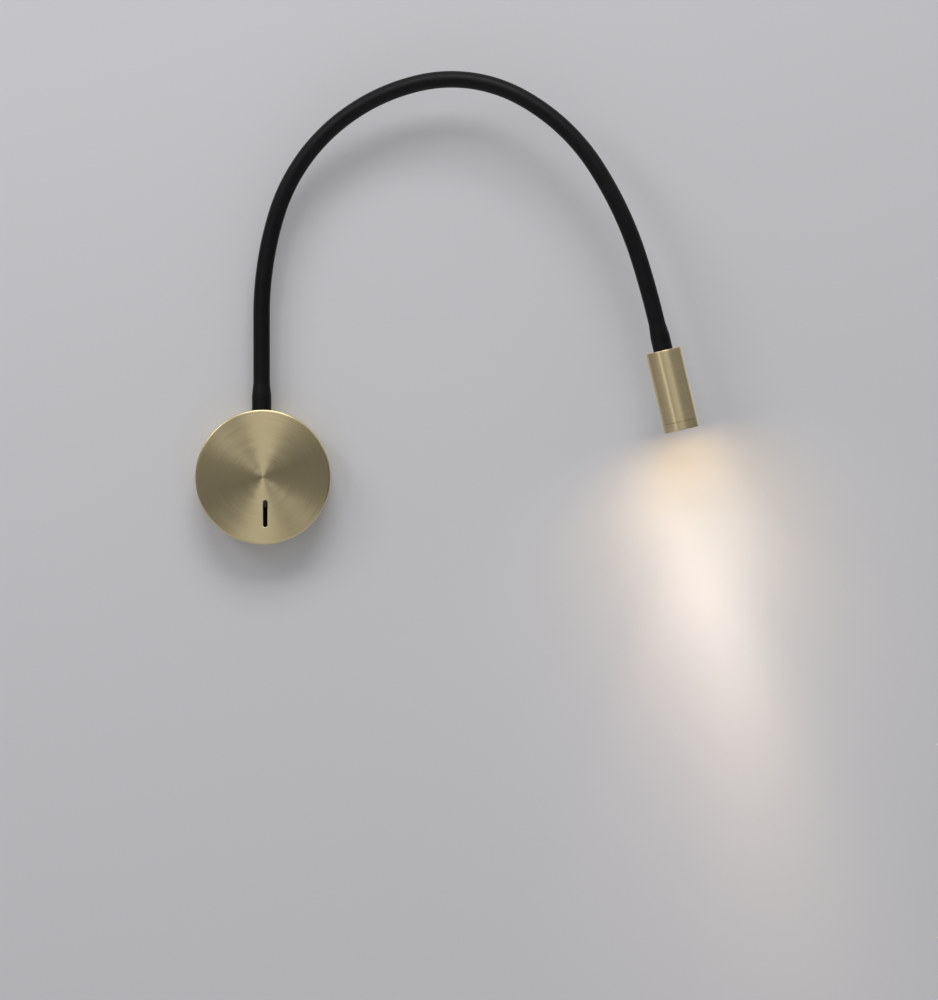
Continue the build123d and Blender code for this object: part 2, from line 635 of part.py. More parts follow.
def head_lock_washer():
    """Split washer under the head's nut."""
    return HEAD * FLIP * lock_washer(-HEAD_TOP)


def head_nut():
    """Nut that clamps the head to its ferrule."""
    start = -HEAD_TOP - LOCK_T
    return HEAD * FLIP * hexagon_nut(NUT_FLATS, SHANK_D / 2 + FIT, start - NUT_T, start)


# ------------------------------------------------------------------ arm
def ball(length, turn):
    """Half ball on the far end of a stretch."""
    return bend(length, turn) * Sphere(SLEEVE_R, arc_size1=0, arc_size2=QUARTER_TURN, align=None)


def cup():
    """Ball that cuts a cup, turned so that its poles lie outside the cup's rim."""
    return Rot(0, 90, 0) * Sphere(CUP_R)


def flared_end():
    """Thick end of the sleeve over a ferrule, with z away from the metal."""
    flare = extrude(Circle(FLARE_D / 2), FERRULE_LENGTH)
    taper = Pos(0, 0, FERRULE_LENGTH) * loft([Circle(FLARE_D / 2), Pos(0, 0, TAPER_LENGTH) * Circle(SLEEVE_R)])
    return flare + taper


def flared_hollow():
    """Room in the thick end for the ferrule and the hose."""
    return disc(FERRULE_D / 2 + FIT, -2, FERRULE_LENGTH) + disc(HOSE_R + FIT, 0, FERRULE_LENGTH + TAPER_LENGTH)


def sleeve_link(turn):
    """Rubber sleeve of one stretch: a cup on its near end and a ball on its far end."""
    body = bar(SLEEVE_R, CUP_RIM, LINK_LENGTH, LINK_LENGTH, turn) + ball(LINK_LENGTH, turn)
    body -= cup()
    body -= bar(HOSE_R + FIT, PLUG_END, LINK_LENGTH - CUP_FLOOR, LINK_LENGTH, turn)
    return body - lead_bore(0, LINK_LENGTH, turn)


def lead_bore(start, length, turn):
    """Bore for the lead, on past the end of the stretch and out of its ball."""
    tail = bend(length, turn) * disc(LEAD_BORE_R, 0, SLEEVE_R + 1)
    return bar(LEAD_BORE_R, start, length, length, turn) + tail


def hose_link(turn):
    """Steel hose inside one stretch."""
    hose = bar(HOSE_R, PLUG_END, LINK_LENGTH - CUP_FLOOR, LINK_LENGTH, turn)
    return hose - bar(HOSE_BORE_D / 2, 0, LINK_LENGTH, LINK_LENGTH, turn)


def lead_link(turn):
    """Lamp lead inside one stretch, from its cup's floor to the tip of its ball."""
    tail = bend(LINK_LENGTH, turn) * disc(LEAD_R, 0, SLEEVE_R - FIT)
    return bar(LEAD_R, CUP_R + FIT, LINK_LENGTH, LINK_LENGTH, turn) + tail


def leaned(shape):
    """Put a shape built on an arc towards +x on the arc that leans off the wall."""
    return LEAN_START * Rot(0, 0, -90) * shape


def root_sleeve():
    """Sleeve from the base to the first ball."""
    flare = flared_end() + disc(FLARE_D / 2, -1, 0) - flared_hollow() - cover_cylinder(COVER_R + FIT)
    tube = bar(SLEEVE_R, 0, END_LENGTH, END_LENGTH, ARM_LEAN) + ball(END_LENGTH, ARM_LEAN)
    tube -= bar(HOSE_R + FIT, 0, END_LENGTH - CUP_FLOOR, END_LENGTH, ARM_LEAN)
    tube -= lead_bore(0, END_LENGTH, ARM_LEAN)
    return ROOT * flare + leaned(tube)


def root_hose():
    """Steel hose from the root ferrule to the first ball."""
    start = FERRULE_LENGTH + TAPER_LENGTH
    straight = ring(HOSE_R, HOSE_BORE_D / 2, FERRULE_SEAT, start)
    hose = bar(HOSE_R, 0, END_LENGTH - CUP_FLOOR, END_LENGTH, ARM_LEAN)
    hose -= bar(HOSE_BORE_D / 2, 0, END_LENGTH, END_LENGTH, ARM_LEAN)
    return ROOT * straight + leaned(hose)


def root_lead():
    """Lamp lead from the driver through the root ferrule to the first ball."""
    driver_top = DRIVER_Y + DRIVER_HEIGHT / 2
    straight = disc(LEAD_R, driver_top - GLAND_LENGTH + FIT - COVER_R, FERRULE_LENGTH + TAPER_LENGTH)
    curved = bar(LEAD_R, 0, END_LENGTH, END_LENGTH, ARM_LEAN)
    curved += bend(END_LENGTH, ARM_LEAN) * disc(LEAD_R, 0, SLEEVE_R - FIT)
    return ROOT * straight + leaned(curved)


def head_sleeve():
    """Sleeve from the last cup to the head."""
    body = bar(SLEEVE_R, CUP_RIM, END_LENGTH, END_LENGTH, HEAD_TURN) - cup()
    body -= bar(HOSE_R + FIT, PLUG_END, END_LENGTH, END_LENGTH, HEAD_TURN)
    body -= bar(LEAD_BORE_R, 0, END_LENGTH, END_LENGTH, HEAD_TURN)
    return STATIONS[-1] * body + HEAD * FLIP * (flared_end() - flared_hollow())


def head_hose():
    """Steel hose from the last cup into the head's ferrule."""
    hose = bar(HOSE_R, PLUG_END, END_LENGTH, END_LENGTH, HEAD_TURN)
    hose -= bar(HOSE_BORE_D / 2, 0, END_LENGTH, END_LENGTH, HEAD_TURN)
    end = FERRULE_LENGTH + TAPER_LENGTH
    return STATIONS[-1] * hose + HEAD * FLIP * ring(HOSE_R, HOSE_BORE_D / 2, FERRULE_SEAT, end)


def head_lead():
    """Lamp lead from the last cup through the head's ferrule and down the slug's groove."""
    curved = STATIONS[-1] * bar(LEAD_R, CUP_R + FIT, END_LENGTH, END_LENGTH, HEAD_TURN)
    board_face = led_board_back() + LED_BOARD_T
    route = FilletPolyline(
        (0, 0, -FERRULE_LENGTH - TAPER_LENGTH), (0, 0, LEAD_DROP_START), (LEAD_SHIFT, 0, SLUG_START),
        (LEAD_SHIFT, 0, board_face), radius=LEAD_BEND_R)
    start = Plane(origin=(0, 0, -FERRULE_LENGTH - TAPER_LENGTH), z_dir=(0, 0, 1))
    return curved + HEAD * sweep(start * Circle(LEAD_R), path=route)


# ------------------------------------------------------------------ head
def head_body():
    """Turned tube with a closed top."""
    tube = disc(HEAD_R, 0, RING_START)
    tube = fillet(tube.edges().group_by(Axis.Z)[0], HEAD_EDGE)
    tube -= disc(HEAD_BORE_R, HEAD_TOP, HEAD_LENGTH)
    return HEAD * (tube - disc(SHANK_D / 2 + FIT, -1, HEAD_TOP + 1))


def front_ring():
    """Screwed ring with a lip that holds the glass, behind a fine seam."""
    thread_r = HEAD_BORE_R - FIT
    glass_r = GLASS_D / 2 + FIT
    lip = HEAD_LENGTH - RING_LIP
    outer = disc(HEAD_R, RING_START + RING_SEAM, HEAD_LENGTH)
    outer = fillet(outer.edges().group_by(Axis.Z)[-1], HEAD_EDGE)
    body = outer + disc(thread_r, RING_START - RING_THREAD_LENGTH, RING_START + RING_SEAM)
    body -= disc(thread_r - RING_THREAD_WALL, RING_START - RING_THREAD_LENGTH - 1, GLASS_BACK)
    body -= disc(glass_r, GLASS_BACK - 1, lip)
    mouth = disc(RING_BORE_D / 2, lip - 1, HEAD_LENGTH + 1)
    body -= mouth
    return HEAD * chamfer(body.edges().filter_by(GeomType.CIRCLE).group_by(Axis.Z)[-1].sort_by(
        SortBy.RADIUS)[0], RING_MOUTH_BREAK)


def front_glass():
    """Frosted glass disc."""
    glass = disc(GLASS_D / 2, GLASS_BACK, GLASS_FRONT)
    return HEAD * chamfer(glass.edges(), GLASS_BREAK)


def glass_gasket():
    """Flat gasket between the glass and the ring's lip."""
    return HEAD * ring(GLASS_D / 2, RING_BORE_D / 2, GLASS_FRONT, GLASS_FRONT + GASKET_T)


def led_board_back():
    """Height of the LED board's back face, which leaves room for the optic in front of it."""
    return GLASS_BACK - OPTIC_HEIGHT - LED_BOARD_T


def heat_slug():
    """Aluminium slug with turned grooves all round and a long groove for the lead."""
    end = led_board_back()
    slug = disc(HEAD_BORE_R - FIT, SLUG_START, end)
    pitch = (end - SLUG_START) / (SLUG_GROOVES + 1)
    for number in range(1, SLUG_GROOVES + 1):
        start = SLUG_START + pitch * number - SLUG_GROOVE_T / 2
        slug -= ring(HEAD_BORE_R + 1, HEAD_BORE_R - SLUG_GROOVE_CUT, start, start + SLUG_GROOVE_T)
    groove_reach = HEAD_BORE_R - SLUG_GROOVE_DEPTH
    slug -= Pos(groove_reach + HEAD_BORE_R / 2, 0, (SLUG_START + end) / 2) * Box(
        HEAD_BORE_R, SLUG_GROOVE_WIDTH, end - SLUG_START + 2)
    for x in (-LED_SCREW_X, 0):
        slug -= led_screw_place(x) * disc(LED_SCREW_D / 2 + FIT, -LED_SCREW_LENGTH - 1, 1)
    return HEAD * slug


def led_screw_place(x):
    """Frame of a board screw's seat; the second screw sits at a quarter turn from the groove."""
    y = 0 if x else LED_SCREW_X
    return Pos(x, y, led_board_back() + LED_BOARD_T)


def led_board():
    """Round board with a notch where the lead comes through."""
    back = led_board_back()
    board = disc(LED_BOARD_D / 2, back, back + LED_BOARD_T)
    board -= Pos(LEAD_SHIFT, 0, 0) * disc(LED_NOTCH_D / 2, back - 1, back + LED_BOARD_T + 1)
    board -= Pos(LEAD_SHIFT + LED_NOTCH_D / 2, 0, back) * Box(LED_NOTCH_D, LED_NOTCH_D, 4 * LED_BOARD_T)
    for x in (-LED_SCREW_X, 0):
        board -= led_screw_place(x) * disc(LED_SCREW_D / 2 + FIT, -LED_BOARD_T - 1, 1)
    return HEAD * board


def led_board_screws():
    """Two pan screws that hold the board to the slug."""
    screw = pan_screw(LED_SCREW_D, LED_SCREW_LENGTH, LED_HEAD_D, LED_HEAD_H)
    return Compound([HEAD * led_screw_place(x) * screw for x in (-LED_SCREW_X, 0)])


def led_chip():
    """Chip with a low dome of phosphor."""
    face = led_board_back() + LED_BOARD_T
    chip = slab(LED_SIZE, LED_SIZE, face, face + LED_T, LED_CORNER)
    return HEAD * (chip + disc(LED_DOME_D / 2, face + LED_T, face + 2 * LED_T))


def collimator():
    """Moulded optic: a cone that widens from the LED to a flat rim behind the glass."""
    face = led_board_back() + LED_BOARD_T
    rim_r = GLASS_D / 2 - RING_THREAD_WALL
    rim_back = GLASS_BACK - OPTIC_RIM_T
    cone = loft([Pos(0, 0, face + 2 * FIT) * Circle(OPTIC_BASE_D / 2), Pos(0, 0, rim_back) * Circle(rim_r)])
    optic = cone + disc(rim_r, rim_back, GLASS_BACK)
    optic -= disc(OPTIC_POCKET_D / 2, face - 1, face + OPTIC_POCKET_H)
    return HEAD * optic


# ------------------------------------------------------------------ write the nodes
def write(name, shape):
    """Write one node's solids."""
    export_step(shape, f"parts/{name}.step")


BASE_NODES = (
    base_cover, cover_grub_screws, wall_bracket, cable_bush, terminal_block, terminal_screws, earth_tag,
    earth_screw, inner_carrier, driver_case, driver_screws, slide_track, dimmer_board, board_spacers,
    board_screws, dimmer_wires, root_ferrule, saddle_washer, root_lock_washer, root_nut, root_sleeve,
    root_hose, root_lead, dimmer_lever, dimmer_wiper)
HEAD_NODES = (
    head_sleeve, head_hose, head_lead, head_ferrule, head_lock_washer, head_nut, head_body, front_ring,
    front_glass, glass_gasket, heat_slug, led_board, led_board_screws, led_chip, collimator)

for make in BASE_NODES + HEAD_NODES:
    write(make.__name__, make())
for number, link_turn in enumerate(LINK_TURNS, start=1):
    place = STATIONS[number - 1]
    write(f"sleeve_{number}", place * sleeve_link(link_turn))
    write(f"hose_{number}", place * hose_link(link_turn))
    write(f"lead_{number}", place * lead_link(link_turn))
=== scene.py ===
"""Finished surfaces, stage, light and camera for a bedside wall reading lamp.

Metres. +X is to the right, +Z is up, the wall is the plane Y = 0 and the lamp stands out towards -Y.
"""

import json
import logging
import math
from collections.abc import Callable, Iterable, Mapping, Sequence
from dataclasses import dataclass, field
from enum import Enum
from itertools import pairwise

import bpy
import numpy as np
from mathutils import Matrix, Vector

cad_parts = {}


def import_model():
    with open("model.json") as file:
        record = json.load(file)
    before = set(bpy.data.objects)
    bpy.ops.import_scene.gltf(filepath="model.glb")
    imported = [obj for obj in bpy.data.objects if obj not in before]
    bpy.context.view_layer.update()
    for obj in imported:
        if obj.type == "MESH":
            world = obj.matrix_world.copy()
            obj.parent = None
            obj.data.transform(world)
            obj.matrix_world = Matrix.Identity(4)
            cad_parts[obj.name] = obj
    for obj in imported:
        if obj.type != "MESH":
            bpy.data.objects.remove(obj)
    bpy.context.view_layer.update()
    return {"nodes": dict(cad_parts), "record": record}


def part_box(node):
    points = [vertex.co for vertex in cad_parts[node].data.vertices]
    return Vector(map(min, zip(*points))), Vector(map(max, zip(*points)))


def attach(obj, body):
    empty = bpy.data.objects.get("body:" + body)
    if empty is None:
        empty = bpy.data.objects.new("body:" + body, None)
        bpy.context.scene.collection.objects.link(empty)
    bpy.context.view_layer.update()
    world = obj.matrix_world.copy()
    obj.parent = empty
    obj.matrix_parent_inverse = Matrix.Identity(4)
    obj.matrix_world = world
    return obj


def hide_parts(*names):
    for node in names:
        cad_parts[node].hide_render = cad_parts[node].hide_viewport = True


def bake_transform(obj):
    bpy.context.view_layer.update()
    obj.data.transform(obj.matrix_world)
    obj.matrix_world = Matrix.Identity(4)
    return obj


LOG = logging.getLogger("reading_lamp")
MM = 0.001
WELD = 1e-7  # points nearer than this are one point
CRUMB = 1e-6  # a cut leaves crumbs smaller than this
SHARP_ANGLE = math.radians(30)  # an edge that turns more than this stays sharp
UPRIGHT = Matrix.Rotation(math.radians(90), 4, "X")  # x to the right, y up, z out into the room

Profile = Sequence[tuple[float, float]]
Piece = bpy.types.Object
Socket = bpy.types.NodeSocket


class Slot(Enum):
    """The record's material slots."""

    TURNED_BRASS = "turned_brass"
    SLEEVE_RUBBER = "sleeve_rubber"
    HOSE_STEEL = "hose_steel"
    LEAD_JACKET = "lead_jacket"
    ZINC_STEEL = "zinc_steel"
    PLATED_SCREW = "plated_screw"
    NICKEL_BRASS = "nickel_brass"
    BUSH_RUBBER = "bush_rubber"
    WHITE_NYLON = "white_nylon"
    DRIVER_PLASTIC = "driver_plastic"
    BLACK_PLASTIC = "black_plastic"
    BOARD_LAMINATE = "board_laminate"
    WIRE_JACKET = "wire_jacket"
    ALUMINIUM_SLUG = "aluminium_slug"
    LED_BOARD_COAT = "led_board_coat"
    LED_PHOSPHOR = "led_phosphor"
    OPTIC_ACRYLIC = "optic_acrylic"
    FROSTED_GLASS = "frosted_glass"


# ---------------------------------------------------------------- materials
def linear(colour: str) -> tuple[float, float, float, float]:
    """Turn an sRGB hex colour into the linear colour that a shader takes.

    Args:
        colour: Hex colour such as "#C8B78E".

    Returns:
        Linear red, green, blue and an alpha of 1.
    """
    parts = [int(colour[start:start + 2], 16) / 255 for start in (1, 3, 5)]
    red, green, blue = (
        part / 12.92 if part <= 0.04045 else ((part + 0.055) / 1.055) ** 2.4 for part in parts)
    return red, green, blue, 1.0


def add_node(tree: bpy.types.NodeTree, kind: str, inputs: Mapping[str | int, object] | None = None,
             **settings: object) -> bpy.types.Node:
    """Add a node with its settings, its input values and its links.

    Args:
        tree: Node tree that gets the node.
        kind: Type of the node without the words "ShaderNode".
        inputs: A value, or an output socket to link, for each input by name or number.
        **settings: Settings of the node itself.

    Returns:
        The new node.
    """
    node = tree.nodes.new(f"ShaderNode{kind}")
    for name, value in settings.items():
        setattr(node, name, value)
    for key, value in (inputs or {}).items():
        if isinstance(value, Socket):
            tree.links.new(value, node.inputs[key])
        else:
            node.inputs[key].default_value = value
    return node


@dataclass(frozen=True)
class Finish:
    """A surface finish: what its shader starts from."""

    name: str
    colour: str
    roughness: float
    metallic: float = 0.0
    specular: float = 0.5
    coat: float = 0.0
    tone_ends: tuple[float, float] = (0.35, 0.7)   # where a pattern's change of colour starts and ends
    gloss_ends: tuple[float, float] = (0.3, 0.7)   # the same for its change of gloss
    gloss_change: float = 0.12                     # change of roughness, up and down, as a share

    def material(self) -> bpy.types.Material:
        """Build the material with its pattern.

        Returns:
            The new material.
        """
        made = bpy.data.materials.new(self.name)
        made.use_nodes = True
        tree = made.node_tree
        tree.nodes.clear()
        shader = add_node(tree, "BsdfPrincipled", {
            "Base Color": linear(self.colour), "Roughness": self.roughness, "Metallic": self.metallic,
            "Specular IOR Level": self.specular, "Coat Weight": self.coat})
        add_node(tree, "OutputMaterial", {"Surface": shader.outputs["BSDF"]})
        self.pattern(tree, shader)
        return made

    def pattern(self, tree: bpy.types.NodeTree, shader: bpy.types.Node) -> None:
        """Add the finish's own pattern. Each kind of finish has its own.

        Args:
            tree: The material's node tree.
            shader: Its Principled shader.
        """

    def vary(self, tree: bpy.types.NodeTree, shader: bpy.types.Node, change: Socket, colours: tuple[str, str],
             relief: Socket, depth: float) -> None:
        """Let colour and gloss change over the surface, and give it a fine relief.

        Args:
            tree: The material's node tree.
            shader: Its Principled shader.
            change: Pattern of the change.
            colours: Hex colours where that pattern is low and where it is high.
            relief: Pattern of the relief.
            depth: Depth of the relief.
        """
        share = add_node(tree, "MapRange", {
            "Value": change, "From Min": self.tone_ends[0], "From Max": self.tone_ends[1]}).outputs[0]
        low, high = (linear(colour) for colour in colours)
        tone = add_node(tree, "Mix", {0: share, 6: low, 7: high}, data_type="RGBA").outputs[2]
        rough = add_node(tree, "MapRange", {
            "Value": change, "From Min": self.gloss_ends[0], "From Max": self.gloss_ends[1],
            "To Min": self.roughness * (1 - self.gloss_change),
            "To Max": min(1.0, self.roughness * (1 + self.gloss_change))}).outputs[0]
        bump = add_node(tree, "Bump", {"Height": relief, "Distance": depth, "Strength": 1.0}).outputs[0]
        for name, source in (("Base Color", tone), ("Roughness", rough), ("Normal", bump)):
            tree.links.new(source, shader.inputs[name])


@dataclass(frozen=True)
class TurnedMetal(Finish):
    """Metal turned on a lathe: fine grooves run round the axis, so its gloss spreads across them.

    It reads two maps of the piece: "turn" holds the turn round the axis and the way along the profile in
    metres, and "round" holds the direction from the axis.
    """

    metallic: float = 1.0
    tone_ends: tuple[float, float] = (0.2, 0.8)
    gloss_change: float = 0.15
    deep_colour: str = "#C3B387"
    pitch: float = 0.4 * MM        # real grooves are finer; this is as fine as the picture shows
    groove_depth: float = 0.004 * MM
    detail: float = 3.0            # finer rings within the rings
    detail_share: float = 0.7      # how strong these are
    spread: float = 0.85           # how much further gloss spreads across the grooves
    quarter: float = 0.25          # turn from the map's first direction to the grooves

    def pattern(self, tree: bpy.types.NodeTree, shader: bpy.types.Node) -> None:
        """Add rings, a broken fine grain along them, and the gloss across them.

        Args:
            tree: The material's node tree.
            shader: Its Principled shader.
        """
        turn = add_node(tree, "UVMap", uv_map="turn").outputs["UV"]
        way = add_node(tree, "SeparateXYZ", {0: turn}).outputs["Y"]
        ring = add_node(tree, "Math", {0: way, 1: 1 / self.pitch}, operation="MULTIPLY").outputs[0]
        direction = add_node(tree, "UVMap", uv_map="round").outputs["UV"]
        spot = add_node(tree, "SeparateXYZ", {0: direction})
        along = add_node(tree, "CombineXYZ", {
            "X": spot.outputs["X"], "Y": spot.outputs["Y"], "Z": ring}).outputs[0]
        rings = add_node(tree, "TexNoise", {
            "Vector": along, "Scale": 1.0, "Detail": self.detail, "Roughness": self.detail_share}).outputs[0]
        self.vary(tree, shader, rings, (self.deep_colour, self.colour), rings, self.groove_depth)
        shader.inputs["Anisotropic"].default_value = self.spread
        shader.inputs["Anisotropic Rotation"].default_value = self.quarter
        tangent = add_node(tree, "Tangent", direction_type="UV_MAP", uv_map="turn")
        tree.links.new(tangent.outputs[0], shader.inputs["Tangent"])


@dataclass(frozen=True)
class Grained(Finish):
    """Moulded or rolled stuff with an even fine grain and slow changes in tone and gloss."""

    second: str = "#000000"        # tone of the slow changes
    grain: float = 0.25 * MM
    grain_depth: float = 0.01 * MM
    grain_detail: float = 2.0
    patch: float = 12 * MM         # size of the slow changes
    patch_detail: float = 4.0

    def pattern(self, tree: bpy.types.NodeTree, shader: bpy.types.Node) -> None:
        """Add the grain as bump, and the slow changes as tone and gloss.

        Args:
            tree: The material's node tree.
            shader: Its Principled shader.
        """
        place = add_node(tree, "TexCoord").outputs["Object"]
        fine, slow = (
            add_node(tree, "TexNoise", {"Vector": place, "Scale": 1 / size, "Detail": detail}).outputs[0]
            for size, detail in ((self.grain, self.grain_detail), (self.patch, self.patch_detail)))
        self.vary(tree, shader, slow, (self.colour, self.second), fine, self.grain_depth)


@dataclass(frozen=True)
class ClearPart(Finish):
    """Clear or frosted part that light passes through."""

    passes: float = 0.9
    ior: float = 1.49
    glow: str = "#000000"
    glow_strength: float = 0.0
    frost: float = 0.25 * MM       # grain of the etched surface
    frost_depth: float = 0.005 * MM

    def pattern(self, tree: bpy.types.NodeTree, shader: bpy.types.Node) -> None:
        """Set how much light passes, add the light it gives and a fine frosting.

        Args:
            tree: The material's node tree.
            shader: Its Principled shader.
        """
        for name, value in (("Transmission Weight", self.passes), ("IOR", self.ior),
                            ("Emission Color", linear(self.glow)), ("Emission Strength", self.glow_strength)):
            shader.inputs[name].default_value = value
        place = add_node(tree, "TexCoord").outputs["Object"]
        frost = add_node(tree, "TexNoise", {
            "Vector": place, "Scale": 1 / self.frost, "Detail": 1.0}).outputs[0]
        bump = add_node(tree, "Bump", {"Height": frost, "Distance": self.frost_depth, "Strength": 1.0})
        tree.links.new(bump.outputs[0], shader.inputs["Normal"])


FINISHES: dict[Slot, Finish] = {
    # Free-turning brass, faced with a fine feed and lacquered: pale champagne with a long soft glint.
    Slot.TURNED_BRASS: TurnedMetal("turned_lacquered_brass", "#D8C9A4", 0.36),
    # Silicone rubber tube, extruded: near black, dull, with a soft sheen along its edge.
    Slot.SLEEVE_RUBBER: Grained("extruded_silicone_rubber", "#060607", 0.5, second="#0A0A0C", specular=0.16),
    # Gooseneck hose wound from spring steel wire: bright with a grey tint.
    Slot.HOSE_STEEL: Grained("wound_spring_steel", "#9A9B9D", 0.3, metallic=1.0, second="#7D7E80"),
    # Soft PVC cable jacket: black and slightly waxy.
    Slot.LEAD_JACKET: Grained("soft_pvc_jacket", "#1A1A1B", 0.45, second="#222223"),
    # Cold rolled steel, zinc plated and blue passivated: grey with a faint cloudy bloom.
    Slot.ZINC_STEEL: Grained("zinc_plated_steel", "#B8BABD", 0.36, metallic=1.0, second="#ABAEB2",
                             patch=25 * MM),
    # Machine screws, zinc plated: brighter than sheet.
    Slot.PLATED_SCREW: Grained("zinc_plated_screw_steel", "#C2C4C6", 0.28, metallic=1.0, second="#A8AAAC"),
    # Brass with a thin nickel plating: warm grey.
    Slot.NICKEL_BRASS: Grained("nickel_plated_brass", "#C4BDAE", 0.25, metallic=1.0, second="#ADA695"),
    # EPDM rubber moulding: dark grey with a dusty bloom.
    Slot.BUSH_RUBBER: Grained("moulded_epdm_rubber", "#2A2A2B", 0.7, second="#333334"),
    # Natural polyamide moulding: creamy white, slightly waxy.
    Slot.WHITE_NYLON: Grained("moulded_polyamide", "#E4E1D6", 0.42, second="#D9D5C8"),
    # Polycarbonate case: cool white with a spark-eroded texture.
    Slot.DRIVER_PLASTIC: Grained("moulded_polycarbonate", "#DCDCD8", 0.5, second="#D0D0CC"),
    # Glass filled polyamide: black with a fine matt grain.
    Slot.BLACK_PLASTIC: Grained("black_glass_filled_polyamide", "#0C0C0D", 0.5, second="#111112",
                                specular=0.3),
    # Glass epoxy laminate under green solder resist: glossy over a faint weave.
    Slot.BOARD_LAMINATE: Grained("green_solder_resist", "#1E5A3A", 0.3, second="#184B30", coat=0.4),
    # Thin PVC wire jacket: red and glossy.
    Slot.WIRE_JACKET: Grained("red_pvc_wire_jacket", "#B3261E", 0.35, second="#9E201A"),
    # Turned 6060 aluminium: pale grey.
    Slot.ALUMINIUM_SLUG: Grained("turned_aluminium", "#CDD0D3", 0.33, metallic=1.0, second="#B9BCC0"),
    # Aluminium core board under white solder resist.
    Slot.LED_BOARD_COAT: Grained("white_solder_resist", "#EDEDE8", 0.35, second="#E2E2DC", coat=0.3),
    # Silicone with yellow phosphor over the LED dies.
    Slot.LED_PHOSPHOR: Grained("phosphor_silicone", "#E9C24A", 0.4, second="#DDB23C"),
    # Injection moulded PMMA optic: water clear.
    Slot.OPTIC_ACRYLIC: ClearPart("moulded_pmma", "#F4F7F8", 0.04),
    # Etched soda-lime glass: milky, lit warm from behind.
    Slot.FROSTED_GLASS: ClearPart("etched_glass", "#FFF6E4", 0.4, passes=0.35, ior=1.52, glow="#FFD9A3",
                                  glow_strength=2.5),
}


class Paintbox:
    """Builds each finish's material once."""

    def __init__(self) -> None:
        """Start with no material built."""
        self.built: dict[Slot, bpy.types.Material] = {}

    def material(self, slot: Slot) -> bpy.types.Material:
        """Give a slot's material.

        Args:
            slot: The record's material slot.

        Returns:
            The material, built on first use.
        """
        if slot not in self.built:
            self.built[slot] = FINISHES[slot].material()
        return self.built[slot]

    def dress(self, piece: Piece, slot: Slot) -> None:
        """Give a piece one finish all over.

        Args:
            piece: The piece.
            slot: The record's material slot.
        """
        piece.data.materials.clear()
        piece.data.materials.append(self.material(slot))


# ---------------------------------------------------------------- modelling
def select_only(piece: Piece) -> None:
    """Select and activate one object, with every other deselected.

    Args:
        piece: The object to work on.
    """
    bpy.ops.object.select_all(action="DESELECT")
    piece.select_set(True)
    bpy.context.view_layer.objects.active = piece


def open_ring(name: str, radius: float, sides: int, place: Matrix) -> Piece:
    """Add an open circle and leave it in edit mode, all selected.

    Args:
        name: Name of the new piece.
        radius: Radius of the circle.
        sides: Number of its edges.
        place: Frame of the circle; its z is the circle's axis.

    Returns:
        The new piece, its object at the origin.
    """
    bpy.ops.object.select_all(action="DESELECT")
    bpy.ops.mesh.primitive_circle_add(vertices=sides, radius=radius, location=place.translation,
                                      rotation=place.to_euler())
    piece = bpy.context.active_object
    piece.name = name
    piece.data.name = name
    bpy.ops.object.transform_apply(location=True, rotation=True, scale=True)
    bpy.ops.object.mode_set(mode="EDIT")
    bpy.ops.mesh.select_all(action="SELECT")
    return piece


def close_up(piece: Piece) -> None:
    """Weld a piece, turn its faces outwards and shade it smooth between sharp edges.

    Args:
        piece: A piece in edit mode.
    """
    bpy.ops.mesh.select_all(action="SELECT")
    bpy.ops.mesh.remove_doubles(threshold=WELD)
    bpy.ops.mesh.normals_make_consistent(inside=False)
    bpy.ops.object.mode_set(mode="OBJECT")
    select_only(piece)
    bpy.ops.object.shade_smooth_by_angle(angle=SHARP_ANGLE)


def extrude_ring(move: Vector, grow: float, centre: Vector) -> None:
    """Extrude the selected ring and change its size.

    Args:
        move: Way from the ring to the next one.
        grow: New radius as a share of the old.
        centre: Middle of the new ring.
    """
    bpy.ops.mesh.extrude_region_move(TRANSFORM_OT_translate={"value": move})
    if grow != 1.0:
        bpy.ops.transform.resize(value=(grow, grow, grow), center_override=centre)


def turned(name: str, profile: Profile, sides: int, place: Matrix) -> Piece:
    """Turn a piece: a ring is extruded and resized from point to point of a profile.

    Args:
        name: Name of the new piece.
        profile: Radius and height of each ring. A radius of 0 closes the piece on its axis, as the last
            point or the first.
        sides: Number of edges round the piece.
        place: Frame of the piece; its z is the axis.

    Returns:
        The piece in edit mode, all its rings made.
    """
    points = list(profile)
    starts_closed = points[0][0] == 0
    if starts_closed:
        points = points[1:]
    axis = place.to_3x3() @ Vector((0, 0, 1))
    start = place @ Matrix.Translation((0, 0, points[0][1]))
    piece = open_ring(name, points[0][0], sides, start)
    if starts_closed:
        bpy.ops.mesh.extrude_region_move(TRANSFORM_OT_translate={"value": (0, 0, 0)})
        bpy.ops.mesh.merge(type="CENTER")
        select_rim()
    for (radius, height), (next_radius, next_height) in pairwise(points):
        centre = place @ Vector((0, 0, next_height))
        move = axis * (next_height - height)
        if next_radius == 0:
            extrude_ring(move, 1.0, centre)
            bpy.ops.mesh.merge(type="CENTER")
        else:
            extrude_ring(move, next_radius / radius, centre)
    return piece


def select_rim() -> None:
    """Select the open edges of the piece in edit mode."""
    bpy.ops.mesh.select_all(action="DESELECT")
    bpy.ops.mesh.select_mode(type="EDGE")
    bpy.ops.mesh.select_non_manifold(extend=False, use_wire=False, use_boundary=True, use_multi_face=False,
                                     use_non_contiguous=False, use_verts=False)


